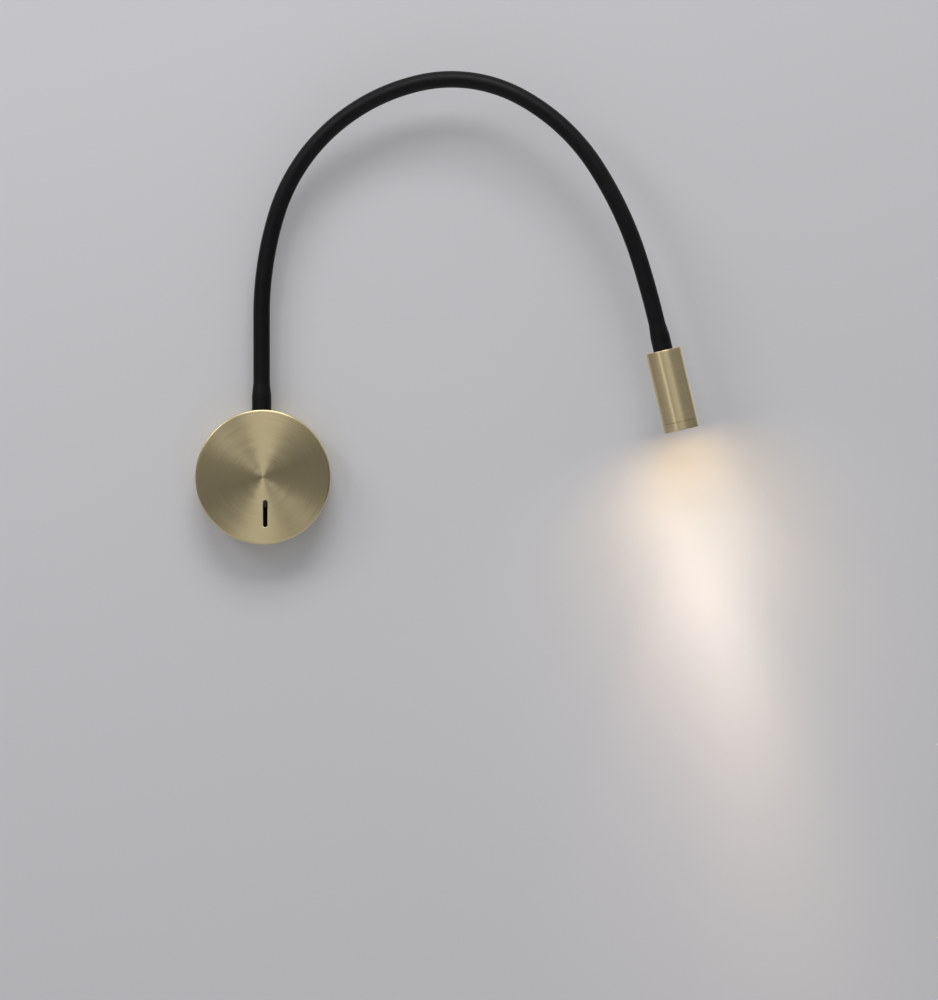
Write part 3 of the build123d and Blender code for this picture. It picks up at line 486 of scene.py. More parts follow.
def rounding(radius: float, height: float, edge: float, start: float,
             steps: int = 5) -> list[tuple[float, float]]:
    """Give the points of a quarter circle that rounds a turned edge.

    Args:
        radius: Radius of the quarter circle's middle.
        height: Height of the quarter circle's middle.
        edge: Radius of the rounding.
        start: Angle of its first point in degrees; it turns a quarter turn on from there.
        steps: Number of flats.

    Returns:
        Radius and height of each point.
    """
    angles = [math.radians(start + 90 * step / steps) for step in range(steps + 1)]
    return [(radius + edge * math.cos(angle), height + edge * math.sin(angle)) for angle in angles]


def lay_turning_maps(piece: Piece, place: Matrix) -> None:
    """Give a turned piece its two maps, which TurnedMetal reads.

    Args:
        piece: The finished piece.
        place: Frame of the piece; its z is the axis.
    """
    mesh = piece.data
    points = np.empty(len(mesh.vertices) * 3)
    mesh.vertices.foreach_get("co", points)
    local = np.c_[points.reshape(-1, 3), np.ones(len(mesh.vertices))] @ np.array(place.inverted()).T
    angle = np.arctan2(local[:, 1], local[:, 0])
    radius = np.hypot(local[:, 0], local[:, 1])
    corner = np.empty(len(mesh.loops), int)
    mesh.loops.foreach_get("vertex_index", corner)
    middles = np.empty(len(mesh.polygons) * 3)
    mesh.polygons.foreach_get("center", middles)
    middle = np.c_[middles.reshape(-1, 3), np.ones(len(mesh.polygons))] @ np.array(place.inverted()).T
    sizes = np.empty(len(mesh.polygons), int)
    mesh.polygons.foreach_get("loop_total", sizes)
    own = np.repeat(np.arctan2(middle[:, 1], middle[:, 0]), sizes)
    turn = np.where(radius[corner] < WELD, own, angle[corner])
    turn = own + (turn - own + math.pi) % (2 * math.pi) - math.pi
    way = local[corner, 2] - radius[corner]
    for name, first, second in (("turn", turn / (2 * math.pi), way), ("round", np.cos(turn), np.sin(turn))):
        layer = mesh.uv_layers.get(name) or mesh.uv_layers.new(name=name)
        layer.data.foreach_set("uv", np.c_[first, second].ravel())


def give_wall(piece: Piece, thickness: float, inside: Vector) -> None:
    """Give an open shell its wall, inwards.

    Args:
        piece: The shell in object mode.
        thickness: Thickness of the wall.
        inside: A place on the axis beside the shell's first face.
    """
    first = piece.data.polygons[0]
    faces_in = first.normal.dot(first.center - inside) < 0
    wall = piece.modifiers.new("wall", "SOLIDIFY")
    wall.thickness = thickness
    wall.offset = 1 if faces_in else -1
    select_only(piece)
    bpy.ops.object.modifier_apply(modifier=wall.name)
    bpy.ops.object.shade_smooth_by_angle(angle=SHARP_ANGLE)


def cut(piece: Piece, tool: Piece) -> None:
    """Cut one piece out of another, delete the tool and weld the crumbs that the cut leaves.

    Args:
        piece: The piece that is cut.
        tool: A closed piece.
    """
    select_only(piece)
    bpy.ops.object.modifier_add(type="BOOLEAN")
    modifier = piece.modifiers[-1]
    modifier.operation = "DIFFERENCE"
    modifier.solver = "EXACT"
    modifier.object = tool
    bpy.ops.object.modifier_apply(modifier=modifier.name)
    bpy.data.objects.remove(tool)
    bpy.ops.object.mode_set(mode="EDIT")
    bpy.ops.mesh.select_all(action="SELECT")
    bpy.ops.mesh.remove_doubles(threshold=CRUMB)
    bpy.ops.object.mode_set(mode="OBJECT")


def stadium(name: str, length: float, width: float, height: float, place: Matrix, sides: int = 48) -> Piece:
    """Model an upright block with round ends: a disc is drawn out along y and extruded along z.

    Args:
        name: Name of the new piece.
        length: Overall length along y.
        width: Width along x.
        height: Height along z.
        place: Frame of the block's lower face.
        sides: Number of edges round both ends together.

    Returns:
        The closed piece, in object mode.
    """
    half_step = math.pi / sides
    turned_half = place @ Matrix.Rotation(half_step, 4, "Z")
    piece = open_ring(name, width / 2 / math.cos(half_step), sides, turned_half)
    bpy.ops.mesh.edge_face_add()
    stretch = place.to_3x3() @ Vector((0, (length - width) / 2, 0))
    back = place.inverted()
    for side in (1, -1):
        select_where(piece, lambda point, side=side: (back @ point).y * side > 0)
        bpy.ops.transform.translate(value=stretch * side)
    bpy.ops.mesh.select_all(action="SELECT")
    rise = place.to_3x3() @ Vector((0, 0, height))
    bpy.ops.mesh.extrude_region_move(TRANSFORM_OT_translate={"value": rise})
    close_up(piece)
    return piece


def rod(name: str, radius: float, length: float, place: Matrix, sides: int = 48) -> Piece:
    """Model a round rod: a disc is extruded along z.

    Args:
        name: Name of the new piece.
        radius: Its radius.
        length: Its length along z.
        place: Frame of its start.
        sides: Number of its sides.

    Returns:
        The closed piece, in object mode.
    """
    piece = open_ring(name, radius, sides, place)
    bpy.ops.mesh.edge_face_add()
    way = place.to_3x3() @ Vector((0, 0, length))
    bpy.ops.mesh.extrude_region_move(TRANSFORM_OT_translate={"value": way})
    close_up(piece)
    return piece


def select_where(piece: Piece, test: Callable[[Vector], bool]) -> None:
    """Select the vertices of a piece in edit mode that pass a test of their place.

    Args:
        piece: The piece.
        test: Tells whether a vertex at that place is selected.
    """
    bpy.ops.mesh.select_mode(type="VERT")
    bpy.ops.mesh.select_all(action="DESELECT")
    bpy.ops.object.mode_set(mode="OBJECT")
    for vertex in piece.data.vertices:
        vertex.select = test(vertex.co)
    bpy.ops.object.mode_set(mode="EDIT")


def area_light(name: str, shape: str, size: tuple[float, float], watts: float,
               colour: str) -> bpy.types.Object:
    """Add an area light, which shines along its -z.

    Args:
        name: Its name.
        shape: Blender's name of its shape.
        size: Its width and height.
        watts: Its power.
        colour: Its hex colour.

    Returns:
        The light at the origin.
    """
    data = bpy.data.lights.new(name, "AREA")
    data.shape = shape
    data.size, data.size_y = size
    data.energy = watts
    data.color = linear(colour)[:3]
    light = bpy.data.objects.new(name, data)
    bpy.context.collection.objects.link(light)
    return light


# ---------------------------------------------------------------- base
@dataclass
class WallBase:
    """The round base on the wall: its turned cover and the dimmer's lever."""

    paintbox: Paintbox
    face: float = 2.5 * MM
    wall: float = 2.0 * MM
    edge: float = 1.3 * MM
    inner_edge: float = 1.5 * MM
    rim_break: float = 0.3 * MM
    slot_length: float = 20.0 * MM
    slot_width: float = 3.3 * MM
    slot_x: float = 1.9 * MM
    slot_z: float = -27.3 * MM
    slot_break: float = 0.25 * MM
    arm_x: float = -1.2 * MM
    arm_standoff: float = 13.0 * MM
    arm_hole: float = 5.05 * MM
    grub_hole: float = 1.55 * MM
    grub_height: float = 9.0 * MM
    grub_angles: tuple[float, ...] = (210.0, 330.0)
    tip_length: float = 5.0 * MM
    tip_width: float = 2.7 * MM
    tip_start: float = 22.9 * MM   # above the wall
    tip_edge: float = 0.4 * MM
    tip_sides: int = 32
    tip_flats: int = 3             # of its rounded edge
    stem_width: float = 2.0 * MM
    stem_length: float = 3.6 * MM
    stem_start: float = 18.3 * MM
    face_rings: int = 24
    side_rings: tuple[float, ...] = (19.5 * MM, 6.5 * MM)
    sides: int = 256
    outside: float = 0.98          # cosine within which a face counts as part of the outside

    def cover(self) -> Piece:
        """Turn the cover, cut the lever's slot and break the slot's edge.

        Returns:
            The cover.
        """
        low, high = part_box("base_cover")
        radius = (high.x - low.x) / 2
        depth = high.y - low.y
        bore = radius - self.wall
        back = depth - self.face
        flat = radius - self.edge
        outer = [(flat * ring / self.face_rings, depth) for ring in range(self.face_rings)]
        edge = rounding(flat, depth - self.edge, self.edge, 90)
        edge = [(2 * flat - r, z) for r, z in edge]
        side = [(radius, height) for height in self.side_rings]
        rim = [*side, (radius, self.rim_break), (radius - self.rim_break, 0), (bore, 0)]
        inner = [(bore, back - self.inner_edge), (bore - self.inner_edge, back), (0, back)]
        cover = turned("turned_cover", [*outer, *edge, *rim, *inner], self.sides, UPRIGHT)
        close_up(cover)
        cut(cover, self.slot_tool(depth))
        for hole_radius, hole in self.side_holes(radius):
            cut(cover, rod("hole_tool", hole_radius, 4 * self.wall, hole))
        cover.data.update()
        self.true_normals(cover, flat, depth - self.edge)
        lay_turning_maps(cover, UPRIGHT)
        self.paintbox.dress(cover, Slot.TURNED_BRASS)
        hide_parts("base_cover")
        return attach(cover, "base")

    def side_holes(self, radius: float) -> list[tuple[float, Matrix]]:
        """Give the radius and the frame of each hole in the cover's round side, with z inwards.

        Args:
            radius: The cover's radius.

        Returns:
            The arm's hole and the two grub screws' holes.
        """
        arm = Matrix.Translation((self.arm_x, -self.arm_standoff, radius + self.wall))
        holes = [(self.arm_hole, arm @ Matrix.Rotation(math.pi, 4, "X"))]
        for angle in self.grub_angles:
            across = Matrix.Rotation(math.radians(angle), 4, "Z") @ Matrix.Translation(
                (radius + self.wall, 0, self.grub_height)) @ Matrix.Rotation(math.radians(-90), 4, "Y")
            holes.append((self.grub_hole, UPRIGHT @ across))
        return holes

    def slot_tool(self, depth: float) -> Piece:
        """Model what is cut away for the lever's slot: a block with round ends that widens at the face.

        Args:
            depth: The cover's depth.

        Returns:
            The closed tool.
        """
        place = Matrix.Translation((self.slot_x, 0, self.slot_z)) @ UPRIGHT
        tool = stadium("slot_tool", self.slot_length, self.slot_width, depth - self.slot_break, place)
        select_only(tool)
        bpy.ops.object.mode_set(mode="EDIT")
        select_where(tool, lambda point: point.y < self.slot_break - depth + WELD)
        bpy.ops.mesh.extrude_region_move(TRANSFORM_OT_translate={"value": (0, -2 * self.slot_break, 0)})
        grow = [1 + 4 * self.slot_break / size for size in (self.slot_width, self.slot_length)]
        bpy.ops.transform.resize(value=(grow[0], 1, grow[1]), center_override=(self.slot_x, 0, self.slot_z))
        close_up(tool)
        return tool

    def outward(self, point: Vector, flat: float, straight: float) -> Vector:
        """Give the exact normal of the cover's outside at a place.

        Args:
            point: The place.
            flat: Radius where the face's flat ends.
            straight: Height where the side's straight part ends.

        Returns:
            The normal.
        """
        away = Vector((point.x, 0, point.z))
        out = max(away.length - flat, 0.0)
        return (away.normalized() * out + Vector((0, -1, 0)) * max(-point.y - straight, 0.0)).normalized()

    def true_normals(self, cover: Piece, flat: float, straight: float) -> None:
        """Give the cover's outside the exact normals of its shape, since cut holes leave uneven faces in it.

        Args:
            cover: The cover with its holes.
            flat: Radius where the face's flat ends.
            straight: Height where the side's straight part ends.
        """
        mesh = cover.data
        normals = np.zeros((len(mesh.loops), 3))
        for face in mesh.polygons:
            if face.normal.dot(self.outward(face.center, flat, straight)) > self.outside:
                for corner in face.loop_indices:
                    point = mesh.vertices[mesh.loops[corner].vertex_index].co
                    normals[corner] = self.outward(point, flat, straight)
        mesh.normals_split_custom_set(normals.tolist())

    def lever(self) -> Piece:
        """Model the lever: a rounded finger tip on its flat stem.

        Returns:
            The lever.
        """
        low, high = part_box("dimmer_lever")
        middle = Matrix.Translation(((low.x + high.x) / 2, 0, (low.z + high.z) / 2)) @ UPRIGHT
        place = middle @ Matrix.Translation((0, 0, self.tip_start))
        depth = -low.y - self.tip_start
        lever = stadium("lever", self.tip_length, self.tip_width, depth, place, self.tip_sides)
        select_only(lever)
        bpy.ops.object.mode_set(mode="EDIT")
        select_where(lever, lambda point: point.y < low.y + WELD)
        bpy.ops.mesh.bevel(offset=self.tip_edge, segments=self.tip_flats)
        bpy.ops.object.mode_set(mode="OBJECT")
        stem = self.stem(middle)
        select_only(lever)
        stem.select_set(True)
        bpy.ops.object.join()
        bpy.ops.object.mode_set(mode="EDIT")
        close_up(lever)
        self.paintbox.dress(lever, Slot.BLACK_PLASTIC)
        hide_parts("dimmer_lever")
        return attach(lever, "dimmer")

    def stem(self, place: Matrix) -> Piece:
        """Model the lever's stem: a flat block whose far end is chamfered all round.

        Args:
            place: Frame on the wall behind the lever, with z out into the room.

        Returns:
            The stem.
        """
        depth = self.tip_start - self.stem_start + self.tip_edge
        centre = place @ Vector((0, 0, self.stem_start + depth / 2))
        bpy.ops.object.select_all(action="DESELECT")
        bpy.ops.mesh.primitive_cube_add(size=1.0, location=centre, rotation=place.to_euler())
        stem = bpy.context.active_object
        stem.scale = (self.stem_width, self.stem_length, depth)
        bpy.ops.object.transform_apply(location=True, rotation=True, scale=True)
        bpy.ops.object.mode_set(mode="EDIT")
        far = centre.y + depth / 2
        select_where(stem, lambda point: point.y > far - WELD)
        bpy.ops.mesh.bevel(offset=self.tip_edge / 2, segments=1)
        bpy.ops.object.mode_set(mode="OBJECT")
        return stem

    def build(self) -> list[Piece]:
        """Build the base's pieces.

        Returns:
            The pieces.
        """
        return [self.cover(), self.lever()]


# ---------------------------------------------------------------- arm
@dataclass
class ArmLine:
    """The line that the gooseneck follows: arcs between the base, seven stations and the head."""

    end_length: float = 50.0 * MM
    link_length: float = 76.3 * MM
    link_turns: tuple[float, ...] = (17.1, 31.0, 29.7, 40.3, 28.7, 15.6)
    head_turn: float = 4.3
    lean_turn: float = 3.05
    skew: float = 5.7
    seat: float = 20.0 * MM        # straight length over each ferrule
    base_x: float = -1.2 * MM
    standoff: float = 13.0 * MM

    @staticmethod
    def bend(length: float, turn: float) -> Matrix:
        """Give the frame at the end of an arc that starts along +z and turns towards +x.

        Args:
            length: Length of the arc.
            turn: Its turn in degrees.

        Returns:
            The frame.
        """
        radius = length / math.radians(turn)
        return (Matrix.Translation((radius, 0, 0)) @ Matrix.Rotation(math.radians(turn), 4, "Y")
                @ Matrix.Translation((-radius, 0, 0)))

    def root(self) -> Matrix:
        """Give the frame of the arm's seat on the cover."""
        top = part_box("base_cover")[1].z
        return Matrix.Translation((self.base_x, -self.standoff, top))

    def lean_start(self) -> Matrix:
        """Give the frame where the arm starts to lean off the wall, with its x away from the wall."""
        top = self.root() @ Matrix.Translation((0, 0, self.seat))
        return top @ Matrix.Rotation(math.radians(-90), 4, "Z")

    def stations(self) -> list[Matrix]:
        """Give the frames of the seven stations where the arm bends.

        Returns:
            The frames, from the base to the head.
        """
        back = Matrix.Rotation(math.radians(90 - self.skew), 4, "Z")
        found = [self.lean_start() @ self.bend(self.end_length, self.lean_turn) @ back]
        for turn in self.link_turns:
            found.append(found[-1] @ self.bend(self.link_length, turn))
        return found

    def head(self) -> Matrix:
        """Give the frame of the head's top, with z along the head towards its lens."""
        end = self.bend(self.end_length, self.head_turn)
        return self.stations()[-1] @ end @ Matrix.Translation((0, 0, self.seat))


@dataclass
class Run:
    """One arc or straight run of a tube."""

    start: Matrix
    length: float
    turn: float = 0.0
    end_radius: float | None = None   # where the tube changes its radius on the way


@dataclass
class Tube:
    """A round tube that is made by drawing a ring along runs."""

    name: str
    radius: float
    step: float                    # between its rings
    sides: int
    rib: float = 1.0               # radius of every second ring as a share, on a wound hose

    def draw(self, runs: Sequence[Run], wall: float | None) -> Piece:
        """Draw the ring along all runs.

        Args:
            runs: The runs in order.
            wall: Thickness of the tube's wall, or None for a solid with closed ends.

        Returns:
            The piece in object mode.
        """
        piece = open_ring(self.name, self.radius, self.sides, runs[0].start)
        if wall is None:
            bpy.ops.mesh.edge_face_add()
            select_rim_of_face()
        radius = self.radius
        for run in runs:
            radius = self.follow(run, radius)
        if wall is None:
            bpy.ops.mesh.edge_face_add()
        close_up(piece)
        if wall is not None:
            give_wall(piece, wall, runs[0].start.translation)
        return piece

    def follow(self, run: Run, radius: float) -> float:
        """Extrude the selected ring along one run.

        Args:
            run: The run.
            radius: Radius of the ring at its start.

        Returns:
            Radius at its end.
        """
        count = max(2, 2 * round(run.length / self.step / 2))  # even, so that a winding ends as it starts
        if run.turn:
            self.follow_arc(run, count)
            return radius
        end_radius = run.end_radius or radius
        step = run.start.to_3x3() @ Vector((0, 0, run.length / count))
        for number in range(1, count + 1):
            before = radius + (end_radius - radius) * (number - 1) / count
            after = radius + (end_radius - radius) * number / count
            centre = run.start.translation + step * number
            extrude_ring(step, after / before * self.swell(number), centre)
        return end_radius

    def follow_arc(self, run: Run, count: int) -> None:
        """Spin the selected ring along an arc.

        Args:
            run: The run.
            count: Number of rings.
        """
        reach = run.length / math.radians(run.turn)
        centre = run.start @ Vector((reach, 0, 0))
        axis = run.start.to_3x3() @ Vector((0, 1, 0))
        turn = -math.radians(run.turn)
        if self.rib == 1.0:
            bpy.ops.mesh.spin(steps=count, angle=turn, center=centre, axis=axis)
            return
        for number in range(1, count + 1):
            bpy.ops.mesh.spin(steps=1, angle=turn / count, center=centre, axis=axis)
            middle = run.start @ ArmLine.bend(run.length * number / count, run.turn * number / count)
            swell = self.swell(number)
            bpy.ops.transform.resize(value=(swell, swell, swell), center_override=middle.translation)

    def swell(self, number: int) -> float:
        """Give the change of radius at a ring, in and out again on a wound hose."""
        return self.rib if number % 2 else 1 / self.rib


def select_rim_of_face() -> None:
    """Keep only the selected face's edges selected, so that the next extrusion leaves the face behind."""
    bpy.ops.mesh.select_mode(type="EDGE")
    bpy.ops.mesh.region_to_loop()


@dataclass
class Gooseneck:
    """The bending arm: rubber sleeve, wound hose and lead, each cut into pieces, one round each station."""

    paintbox: Paintbox
    line: ArmLine = field(default_factory=ArmLine)
    sleeve_radius: float = 6.2 * MM
    sleeve_wall: float = 0.95 * MM
    sleeve_step: float = 2.0 * MM
    sleeve_sides: int = 48
    flare_radius: float = 7.25 * MM
    ferrule: float = 10.5 * MM     # length of the flare's straight part
    ferrule_seat: float = 2.0 * MM
    saddle: float = 1.0 * MM       # the root end reaches down this far round the cover
    hose_radius: float = 5.2 * MM
    hose_wall: float = 2.4 * MM
    hose_pitch: float = 2.6 * MM   # between the turns of its winding
    hose_rib: float = 0.93
    hose_sides: int = 24
    lead_radius: float = 1.6 * MM
    lead_step: float = 4.0 * MM
    lead_sides: int = 16
    lead_tail: float = 37.45 * MM  # lead below the arm's seat, down to the driver
    drop_start: float = 14.5 * MM  # in the head, where the lead starts to move aside
    drop_shift: float = 8.6 * MM
    drop_length: float = 7.5 * MM
    drop_radius: float = 5.0 * MM
    drop_end: float = 24.8 * MM
    link_count: int = 6
    cover_sides: int = 256         # of the tool that cuts the root end to the cover's round
    bend_share: float = 0.98       # share of a piece's length that bends

    def middle_runs(self, number: int) -> list[Run]:
        """Give the curved runs of the piece that bends at one station.

        Args:
            number: Number of the station, from 0.

        Returns:
            The runs between the middles of the links beside it, or from or to the straight end.
        """
        line = self.line
        stations = line.stations()
        half = line.link_length / 2
        if number == 0:
            before = Run(line.lean_start(), line.end_length, line.lean_turn)
        else:
            turn = line.link_turns[number - 1] / 2
            before = Run(stations[number - 1] @ line.bend(half, turn), half, turn)
        if number == self.link_count:
            return [before, Run(stations[-1], line.end_length, line.head_turn)]
        return [before, Run(stations[number], half, line.link_turns[number] / 2)]

    def arm_end(self) -> Matrix:
        """Give the frame where the arm runs straight into the head's ferrule."""
        line = self.line
        return line.stations()[-1] @ line.bend(line.end_length, line.head_turn)

    def sleeve(self, number: int) -> Piece:
        """Model the sleeve's piece that bends at one station.

        Args:
            number: Number of the station, from 0.

        Returns:
            The piece.
        """
        line = self.line
        runs = self.middle_runs(number)
        taper = line.seat - self.ferrule
        radius = self.sleeve_radius
        if number == 0:
            radius = self.flare_radius
            foot = line.root() @ Matrix.Translation((0, 0, -self.saddle))
            shoulder = line.root() @ Matrix.Translation((0, 0, self.ferrule))
            runs = [Run(foot, self.ferrule + self.saddle),
                    Run(shoulder, taper, end_radius=self.sleeve_radius), *runs]
        if number == self.link_count:
            end = self.arm_end()
            up = Run(end, taper, end_radius=self.flare_radius)
            runs += [up, Run(end @ Matrix.Translation((0, 0, taper)), self.ferrule)]
        tube = Tube(f"sleeve_bend_{number + 1}", radius, self.sleeve_step, self.sleeve_sides)
        piece = tube.draw(runs, self.sleeve_wall)
        if number == 0:
            low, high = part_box("base_cover")
            cut(piece, rod("cover_tool", (high.x - low.x) / 2, high.y - low.y, UPRIGHT, self.cover_sides))
            piece.data.update()
        self.paintbox.dress(piece, Slot.SLEEVE_RUBBER)
        return piece

    def hose(self, number: int) -> Piece:
        """Model the wound hose's piece that bends at one station.

        Args:
            number: Number of the station, from 0.

        Returns:
            The piece.
        """
        line = self.line
        runs = self.middle_runs(number)
        seated = line.seat - self.ferrule_seat
        if number == 0:
            runs = [Run(line.root() @ Matrix.Translation((0, 0, self.ferrule_seat)), seated), *runs]
        if number == self.link_count:
            runs.append(Run(self.arm_end(), seated))
        tube = Tube(f"hose_bend_{number + 1}", self.hose_radius, self.hose_pitch / 2, self.hose_sides,
                    self.hose_rib)
        piece = tube.draw(runs, self.hose_wall)
        self.paintbox.dress(piece, Slot.HOSE_STEEL)
        return piece

    def lead(self, number: int) -> Piece:
        """Model the lead's piece that bends at one station.

        Args:
            number: Number of the station, from 0.

        Returns:
            The piece.
        """
        line = self.line
        runs = self.middle_runs(number)
        if number == 0:
            below = line.root() @ Matrix.Translation((0, 0, -self.lead_tail))
            runs = [Run(below, self.lead_tail + line.seat), *runs]
        if number == self.link_count:
            runs += self.lead_in_head()
        tube = Tube(f"lead_bend_{number + 1}", self.lead_radius, self.lead_step, self.lead_sides)
        piece = tube.draw(runs, None)
        self.paintbox.dress(piece, Slot.LEAD_JACKET)
        return piece

    def lead_in_head(self) -> list[Run]:
        """Give the lead's runs in the head: straight through the ferrule, then aside to the slug's groove.

        Returns:
            The runs in order.
        """
        turn = math.degrees(math.atan2(self.drop_shift, self.drop_length))
        cut_back = self.drop_radius * math.tan(math.radians(turn / 2))
        arc = self.drop_radius * math.radians(turn)
        slant = math.hypot(self.drop_shift, self.drop_length) - 2 * cut_back
        runs: list[Run] = []
        here = self.arm_end()
        ways = ((self.line.seat + self.drop_start - cut_back, 0.0), (arc, turn), (slant, 0.0), (arc, -turn),
                (self.drop_end - cut_back, 0.0))
        for length, bend in ways:
            runs.append(Run(here, length, bend))
            here = here @ (ArmLine.bend(length, bend) if bend else Matrix.Translation((0, 0, length)))
        return runs

    def bend_at(self, piece: Piece, number: int) -> None:
        """Bake a piece's place into its mesh.

        Args:
            piece: The piece.
            number: Number of the station, from 0.
        """
        station = self.line.stations()[number]
        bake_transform(piece)

    def build(self) -> list[Piece]:
        """Build the arm's pieces.

        Returns:
            The pieces.
        """
        made = []
        for part, build in (("sleeve", self.sleeve), ("hose", self.hose), ("lead", self.lead)):
            middles = [f"{part}_{count + 1}" for count in range(self.link_count)]
            nodes = [f"root_{part}", *middles, f"head_{part}"]
            for number in range(self.link_count + 1):
                piece = build(number)
                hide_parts(nodes[number], nodes[number + 1])
                self.bend_at(piece, number)
                made.append(piece)
        return made


# ---------------------------------------------------------------- head
@dataclass
class LampHead:
    """The turned tube at the arm's end, its front ring and its glass."""

    paintbox: Paintbox
    place: Matrix
    radius: float = 13.4 * MM
    length: float = 60.5 * MM
    bore: float = 11.8 * MM
    top: float = 3.0 * MM
    hole: float = 5.05 * MM
    edge: float = 0.5 * MM
    ring_start: float = 54.0 * MM
    seam: float = 0.25 * MM
    thread: float = 11.75 * MM
    thread_wall: float = 0.9 * MM
    thread_length: float = 4.0 * MM
    lip: float = 1.2 * MM
    mouth: float = 9.8 * MM
    glass_radius: float = 10.6 * MM
    glass_back: float = 57.1 * MM
    glass_front: float = 58.7 * MM
    beams: tuple[tuple[float, float, float, str], ...] = (  # spread and turn in degrees, watts and colour
        (180.0, 0.0, 0.038, "#FFD793"), (110.0, 0.0, 0.012, "#FFF8EC"), (110.0, -30.0, 0.018, "#FFEBCF"),
        (110.0, 30.0, 0.010, "#FFDDB0"), (85.0, 0.0, 0.014, "#FFF4DC"), (85.0, -30.0, 0.018, "#FFD9A8"),
        (85.0, 30.0, 0.012, "#FFD9A8"), (60.0, 0.0, 0.022, "#FFF2DC"), (60.0, -16.0, 0.017, "#FFDDCB"),
        (60.0, 16.0, 0.017, "#FFCFA8"), (40.0, 0.0, 0.027, "#FFEFD6"), (40.0, -12.0, 0.025, "#FFD9BE"),
        (28.0, 0.0, 0.022, "#FFDCBC"))
    beam_share: float = 0.95       # size of each disc of light, as a share of the mouth
    ring_step: float = 2.0 * MM
    top_rings: int = 4
    small_break: float = 0.1 * MM
    fit: float = 0.05 * MM
    sides: int = 160

    def body(self) -> Piece:
        """Turn the tube with its flat top.

        Returns:
            The tube.
        """
        count = round((self.ring_start - self.edge) / self.ring_step)
        low = self.ring_start - self.small_break
        side = [(self.radius, self.edge + (low - self.edge) * step / count) for step in range(count + 1)]
        corner = rounding(self.radius - self.edge, self.edge, self.edge, -90)[:-1]
        flat = self.radius - self.edge - self.hole
        top = [(self.hole + flat * step / self.top_rings, 0) for step in range(self.top_rings)]
        profile = [*top, *corner, *side, (self.radius - self.small_break, self.ring_start),
                   (self.bore, self.ring_start), (self.bore, self.top), (self.hole, self.top), (self.hole, 0)]
        piece = turned("head_tube", profile, self.sides, self.place)
        return self.finish_turned(piece, "head_body")

    def ring(self) -> Piece:
        """Turn the front ring with its lip, its pocket for the glass and its thread.

        Returns:
            The ring.
        """
        start = self.ring_start + self.seam
        lip = self.length - self.lip
        thread_bore = self.thread - self.thread_wall
        front = rounding(self.radius - self.edge, self.length - self.edge, self.edge, 0)
        pocket = self.glass_radius + self.fit
        profile = [(self.thread, start), (self.radius - self.small_break, start),
                   (self.radius, start + self.small_break), *front, (self.mouth + self.edge / 2, self.length),
                   (self.mouth, self.length - self.edge / 2), (self.mouth, lip), (pocket, lip),
                   (pocket, self.glass_back), (thread_bore, self.glass_back),
                   (thread_bore, self.ring_start - self.thread_length),
                   (self.thread, self.ring_start - self.thread_length), (self.thread, start)]
        piece = turned("head_ring", profile, self.sides, self.place)
        return self.finish_turned(piece, "front_ring")

    def glass(self) -> Piece:
        """Turn the front glass with its broken edges.

        Returns:
            The glass.
        """
        back, front = self.glass_back, self.glass_front
        rim = self.glass_radius - self.small_break
        profile = [(0, back), (rim, back), (self.glass_radius, back + self.small_break),
                   (self.glass_radius, front - self.small_break), (rim, front), (0, front)]
        piece = turned("head_glass", profile, self.sides, self.place)
        close_up(piece)
        self.paintbox.dress(piece, Slot.FROSTED_GLASS)
        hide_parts("front_glass")
        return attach(piece, "head")

    def beam(self, angle: float, turn: float, watts: float, colour: str) -> None:
        """Add warm light that leaves the mouth.

        Args:
            angle: Its full spread in degrees.
            turn: How far it turns to +X, along the wall, in degrees.
            watts: Its power.
            colour: Its hex colour.
        """
        size = 2 * self.mouth * self.beam_share
        light = area_light(f"beam_{angle:.0f}_{turn:.0f}", "DISK", (size, size), watts, colour)
        light.data.spread = math.radians(angle)
        aim = Matrix.Rotation(-math.radians(turn), 4, "Y") @ Matrix.Rotation(math.pi, 4, "X")
        light.matrix_world = self.place @ Matrix.Translation((0, 0, self.length - self.fit)) @ aim
        light.visible_camera = False
        light.visible_glossy = False
        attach(light, "head")

    def finish_turned(self, piece: Piece, node: str) -> Piece:
        """Weld, map, dress and mount a turned piece of the head.

        Args:
            piece: The piece in edit mode.
            node: The CAD node that it replaces.

        Returns:
            The piece.
        """
        close_up(piece)
        lay_turning_maps(piece, self.place)
        self.paintbox.dress(piece, Slot.TURNED_BRASS)
        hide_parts(node)
        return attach(piece, "head")

    def build(self) -> list[Piece]:
        """Build the head's pieces.

        Returns:
            The pieces.
        """
        for beam in self.beams:
            self.beam(*beam)
        return [self.body(), self.ring(), self.glass()]


